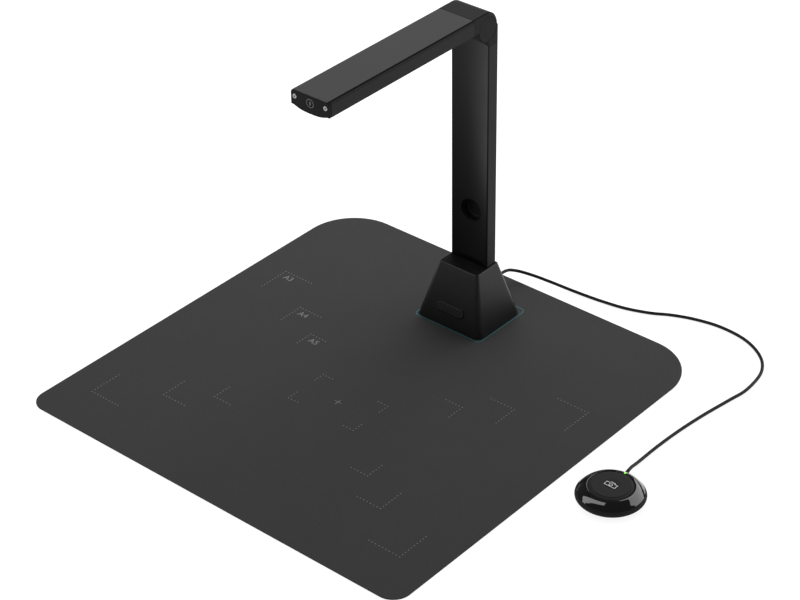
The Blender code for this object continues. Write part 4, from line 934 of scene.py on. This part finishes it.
def build_cap_screws():
    proud = 0.3 * MM
    edge = lower_edge(SCREW_HEAD_RADIUS, 0, 0.4 * MM, 5)
    profile = [(0, SCREW_LENGTH), (SCREW_SHANK_RADIUS, SCREW_LENGTH),
               (SCREW_SHANK_RADIUS, SCREW_HEAD_THICK), (SCREW_HEAD_RADIUS, SCREW_HEAD_THICK)]
    socket_radius, socket_depth = 1.1 * MM, 1.3 * MM
    for side, sign in SIDES.items():
        place = facing((sign * CAP_SCREW_X, ARM_FRONT_Y - proud, CAP_SCREW_Z), INWARD)
        screw = turned(f"cap_screw_{side}", profile + edge + [(0, 0)], place, 48)
        socket = rod("socket", place, socket_radius, -MM, socket_depth, 6)
        dress(cut(screw, socket), "arm", "bright_screw", [f"end_cap_screw_{side}"])


def build_touch_light():
    """Inlaid light ring and bulb sign."""
    place = facing((0, ARM_FRONT_Y - INLAY_PROUD, TOUCH_Z), INWARD)
    inner, outer = TOUCH_RING
    ring = turned("light_ring", [(inner, 0), (outer, 0), (outer, INLAY_THICK),
                                 (inner, INLAY_THICK)], place, 64)
    dress(ring, "arm", "light_grey_print", ["touch_light_ring"])
    bulb_z = TOUCH_Z + 0.5 * MM
    bulb = arc((0, bulb_z), 1.45 * MM, -52, 232, 28)
    neck = [(-0.65 * MM, TOUCH_Z - 0.9 * MM), (-0.65 * MM, TOUCH_Z - 2.1 * MM)]
    outline = bulb + neck + [(-x, z) for x, z in reversed(neck)]
    sign_low = ARM_FRONT_Y - INLAY_PROUD
    symbol = prism("light_sign", outline, sign_low, sign_low + INLAY_THICK, "XZ")
    hole = rod("hole", facing((0, ARM_FRONT_Y, bulb_z), INWARD), 0.75 * MM, -MM, MM, 24)
    gap = box("gap", (-MM, ARM_FRONT_Y - MM, TOUCH_Z - 1.3 * MM),
              (MM, ARM_FRONT_Y + 0.2 * MM, TOUCH_Z - 1.1 * MM))
    dress(cut(symbol, hole, gap), "arm", "light_grey_print", ["touch_light_symbol"])


def build_arm_rear():
    half = ARM_HALF
    reach = BARREL_RADIUS + GAP
    start_y = ARM_METAL_END_Y + GAP
    inner_turn = arc((HINGE_Y, HINGE_Z), reach, 0.5, 178, 64)

    # Cheeks beside the strap carry on the channel's deck and chamfer round the hinge
    def cheek(x, top, radius):
        profile = [(start_y, ARM_LIP_Z), (start_y, top)]
        profile += arc((HINGE_Y, HINGE_Z), radius, 90, 0, 32) + inner_turn
        return [(x, y, z) for y, z in profile]

    outer = (ARM_SIDE_TOP_Z, reach + 0.3 * MM)
    deck = (ARM_DECK_Z, ARM_DECK_Z - HINGE_Z)
    cover = loft("arm_knuckle", [cheek(-half, *outer), cheek(-ARM_DECK_HALF, *deck),
                                 cheek(ARM_DECK_HALF, *deck), cheek(half, *outer)])
    overlap = 1 * MM
    strap = [(start_y, ARM_TOP_Z)]
    strap += arc((HINGE_Y, HINGE_Z), KNUCKLE_RADIUS, 90, 0, 48)
    strap += arc((HINGE_Y, HINGE_Z), reach + overlap, 0, 90, 48)
    strap += [(start_y, HINGE_Z + reach + overlap)]
    fuse(cover, prism("strap", strap, -PLATE_HALF, PLATE_HALF, "YZ"))
    hollow_half = 21.5 * MM
    past = 5 * MM
    hollow = box("hollow", (-hollow_half, start_y - past, ARM_LIP_Z - past),
                 (hollow_half, HINGE_Y - 8 * MM, ARM_DECK_Z - 2.2 * MM))
    dress(cut(cover, hollow), "arm", "hinge_plastic", ["arm_rear_cover"])


def build_lens():
    low = ARM_LIP_Z - BELLY_STEP - BELLY_DROP - LENS_DROP
    high = ARM_LIP_Z + 6.1 * MM
    glass_low = low + 1.3 * MM
    glass_high = glass_low + 2 * MM
    seat = 5.8 * MM
    shoulder = ARM_LIP_Z - 1.5 * MM
    neck, bore = 6.6 * MM, 4.4 * MM
    edge = lower_edge(LENS_RADIUS, low, 0.5 * MM, 6)
    profile = [(neck, high), (neck, shoulder), (LENS_RADIUS, shoulder)] + edge
    steps = 6
    for i in range(steps + 1):
        radius = seat + 0.8 * MM * (1 - i / steps)
        height = low + (glass_low - low) * i / steps
        profile.append((radius, height))
    profile += [(seat, glass_high + GAP), (bore, glass_high + GAP), (bore, high)]
    dress(turned("lens_mount", profile, facing((0, LENS_Y, 0))), "arm", "sensor_black",
          ["lens_barrel"])
    radius = seat - GAP
    bulge = 0.7 * MM
    dome = [(radius * math.sin(math.radians(a)),
             glass_low + bulge * (1 - math.cos(math.radians(a)))) for a in range(90, 0, -9)]
    glass = turned("lens_front", [(0, glass_high), (radius, glass_high)] + dome + [(0, glass_low)],
                   facing((0, LENS_Y, 0)))
    dress(glass, "arm", "lens_glass", ["lens_glass"])


def build_light_window():
    width, length = LIGHT_SIZE
    depth = 1.5 * MM
    steps = 20
    lower = [(x, belly_z(x)) for x in (width / 2 * (2 * i / steps - 1) for i in range(steps + 1))]
    middle_y = LENS_Y + LIGHT_OFFSET
    light = prism("light_window", lower + [(x, z + depth) for x, z in reversed(lower)],
                  middle_y - length / 2, middle_y + length / 2, "XZ")
    dress(light, "arm", "diffuser_white", ["led_diffuser"])


# ---------------- hand button
def smooth_profile(points, steps=8):
    """A rounded line through a profile given in millimetres."""
    return [tuple(point) for point in smooth_line([Vector(point) * MM for point in points], steps)]


BUTTON_PLACE = facing((PUCK_X, PUCK_Y, 0))
ICON_LOW = BUTTON_TOP_Z - BUTTON_DISH + GAP
ICON_HIGH = ICON_LOW + 0.4 * MM


def build_button_housing():
    pad = turned("button_pad", [(20 * MM, 0), (27.8 * MM, 0), (28 * MM, 0.2 * MM),
                                (28 * MM, 0.7 * MM), (20 * MM, 0.7 * MM)], BUTTON_PLACE)
    dress(pad, "stand", "rubber", ["puck_foot_pad"])
    lower = smooth_profile(PUCK_LOWER)
    base = turned("button_base", [(0, 2.8 * MM), (29 * MM, 2.8 * MM), (32 * MM, 4.6 * MM),
                                  (33.2 * MM, 6.4 * MM), (32.6 * MM, 8 * MM), (31.6 * MM, 9.7 * MM)]
                  + lower + [(29.2 * MM, 1.0 * MM), (0, 1.0 * MM)], BUTTON_PLACE, 144)
    hole = rod("hole", facing(polar(PUCK_RADIUS, RELIEF_ANGLE, RELIEF_Z), RELIEF_OUT), 2.7 * MM,
               -7 * MM, 7 * MM, 40)
    dress(cut(base, hole), "stand", "matte_black", ["puck_base"])

    upper = smooth_profile(PUCK_UPPER)
    shell = [(BEZEL_RADIUS, BEZEL_Z - 0.35 * MM), (BEZEL_RADIUS + 0.15 * MM, BEZEL_Z - 0.12 * MM),
             (BEZEL_RADIUS + 0.5 * MM, BEZEL_Z)] + upper
    shell += [(33.2 * MM, 10 * MM), (31.4 * MM, 10 * MM), (30.2 * MM, 11.2 * MM),
              (28.2 * MM, 12.9 * MM), (26.4 * MM, 13.8 * MM), (24.9 * MM, 13.9 * MM),
              (24.9 * MM, 9.6 * MM), (BEZEL_RADIUS, 9.6 * MM)]
    upper = turned("button_shell", shell, BUTTON_PLACE, 144)
    reach = 4 * MM
    led_hole = rod("led_hole", facing(polar(LED_OFFSET, LED_ANGLE, BEZEL_Z)), LED_RADIUS + GAP,
                   -reach, reach, 40)
    dress(cut(upper, led_hole), "stand", "piano_black", ["puck_upper_shell"], sharp=40)
    led = [(LED_RADIUS * math.sin(math.radians(a)),
            BEZEL_Z - 0.1 * MM + 0.6 * MM * math.cos(math.radians(a))) for a in range(10, 91, 10)]
    led = turned("button_led", [(0, BEZEL_Z + 0.5 * MM)] + led
                 + [(LED_RADIUS, BEZEL_Z - 3 * MM), (0, BEZEL_Z - 3 * MM)],
                 facing(polar(LED_OFFSET, LED_ANGLE, 0)), 32)
    dress(led, "stand", "led_green", ["puck_led"])


def build_push_button():
    top = BUTTON_TOP_Z
    dish = BUTTON_DISH
    rim = 9.5 * MM
    inner = BUTTON_RADIUS - 1.8 * MM
    underside = top - 2.2 * MM
    bowl = [(rim * i / 10, top - dish * (1 - (i / 10) ** 4)) for i in range(1, 11)]
    profile = [(0, top - dish)] + bowl + [(rim + 0.3 * MM, top)]
    profile += [(BUTTON_FACE_RADIUS - 0.3 * MM, top), (BUTTON_FACE_RADIUS, top - 0.08 * MM),
                (BUTTON_FACE_RADIUS + 0.15 * MM, top - 0.4 * MM),
                (BUTTON_FACE_RADIUS + 0.5 * MM, top - 0.6 * MM),
                (BUTTON_RADIUS - 1.4 * MM, top - 0.9 * MM), (BUTTON_RADIUS - 0.4 * MM, top - 1.3 * MM),
                (BUTTON_RADIUS - 0.1 * MM, top - 1.5 * MM), (BUTTON_RADIUS, top - 1.8 * MM),
                (BUTTON_RADIUS, 11.3 * MM), (inner, 11.3 * MM), (inner, underside), (0, underside)]
    button = turned("push_button", profile, BUTTON_PLACE, 144)
    dress(button, "hand_button", "matte_black", ["puck_button"])


def icon_outline(right):
    """Outline on the hand button from its right half, in millimetres."""
    points = right + [(-x, y) for x, y in reversed(right)]
    return [(x * MM + PUCK_X, y * MM + PUCK_Y) for x, y in points]


def build_camera_sign():
    body = [(6.6, -3.5), (6.6, 2.3), (3.4, 2.3), (2.2, 3.9)]
    inside = [(5.85, -2.75), (5.85, 1.55), (3, 1.55), (1.8, 3.15)]
    icon = cut(prism("camera_sign", icon_outline(body), ICON_LOW, ICON_HIGH),
               prism("inside", icon_outline(inside), ICON_LOW - MM, ICON_HIGH + MM))
    dress(icon, "hand_button", "silver_icon", ["puck_icon"])
    inner, outer = 1.4 * MM, 2.1 * MM
    ring = turned("ring", [(inner, ICON_LOW), (outer, ICON_LOW), (outer, ICON_HIGH),
                           (inner, ICON_HIGH)], facing((PUCK_X, PUCK_Y - 0.6 * MM, 0)), 40)
    dress(ring, "hand_button", "silver_icon", ["puck_icon_lens"])


# ---------------- light and floor
FLOOR_REACH = 12                   # metres from the middle to each side
FLOOR_DROP = 0.2 * MM              # the floor lies this far below the mat
SKY_STRENGTH = 0.08
# Angles are in degrees round the hand button, sizes and distances in metres. The key light isn't
# seen in reflections, so that the upward faces stay dim.
SOFTBOXES = {
    "key": dict(azimuth=-137, elevation=44, distance=1.5, size=(1.5, 1.4), radiance=3.3,
                long_side=(1, 0, 0)),
    "front_left": dict(azimuth=-52, elevation=51, distance=1.1, size=(1.25, 0.42), radiance=2.2,
                       long_side=(0.87, 0.15, 0.36)),
    "behind": dict(azimuth=163, elevation=33, distance=3.6, size=(5.0, 3.4), radiance=1.75,
                   long_side=(1, 0, 0)),
}


def softbox(name, azimuth, elevation, distance, size, radiance, long_side):
    """A lit rectangle facing the hand button; long_side is the direction of its first size."""
    toward = direction(math.radians(azimuth), math.radians(elevation))
    across = Vector(long_side)
    across = (across - toward * across.dot(toward)).normalized()
    data = bpy.data.lights.new(name, "AREA")
    data.shape = "RECTANGLE"
    data.size, data.size_y = size
    data.energy = radiance * math.pi * size[0] * size[1]
    light = bpy.data.objects.new(name, data)
    scene.collection.objects.link(light)
    turn = Matrix((across, toward.cross(across), toward)).transposed().to_4x4()
    target = Vector((PUCK_X, PUCK_Y, 0))
    light.matrix_world = Matrix.Translation(target + toward * distance) @ turn
    return light


def build_floor():
    shape = bmesh.new()
    bmesh.ops.create_grid(shape, x_segments=24, y_segments=24, size=FLOOR_REACH)
    floor = from_bmesh("floor", shape)
    floor.location.z = -FLOOR_DROP
    floor.data.materials.append(FLOOR_PAINT)


def build_lights():
    world = bpy.data.worlds.new("studio")
    scene.world = world
    world.use_nodes = True
    background = world.node_tree.nodes["Background"]
    fill(background, {"Color": (1, 1, 1, 1), "Strength": SKY_STRENGTH})
    lights = {name: softbox(name, **values) for name, values in SOFTBOXES.items()}
    lights["key"].visible_glossy = False
    scene.view_settings.view_transform = "Standard"
    scene.view_settings.look = "None"
    scene.view_settings.exposure = 0
    scene.view_settings.gamma = 1


def dress_inside():
    """Finishes for the CAD nodes that are shown as they are."""
    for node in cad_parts.values():
        if node.hide_render:
            continue
        for slot in node.material_slots:
            finish = slot.material.name.split(".")[0]
            slot.material = MATERIALS[finish]


build_camera()
build_plug()
build_plug_sleeve()
build_button_sleeve()
build_cord()
build_mat()
print_page_corners()
print_centre_cross()
print_labels()
print_stand_outline()
build_housing()
build_badge()
build_feet()
build_post()
build_pocket_cup()
build_hinge_bracket()
build_hinge_caps()
build_arm()
build_end_cap()
build_cap_screws()
build_touch_light()
build_arm_rear()
build_lens()
build_light_window()
build_button_housing()
build_push_button()
build_camera_sign()
build_floor()
build_lights()
dress_inside()
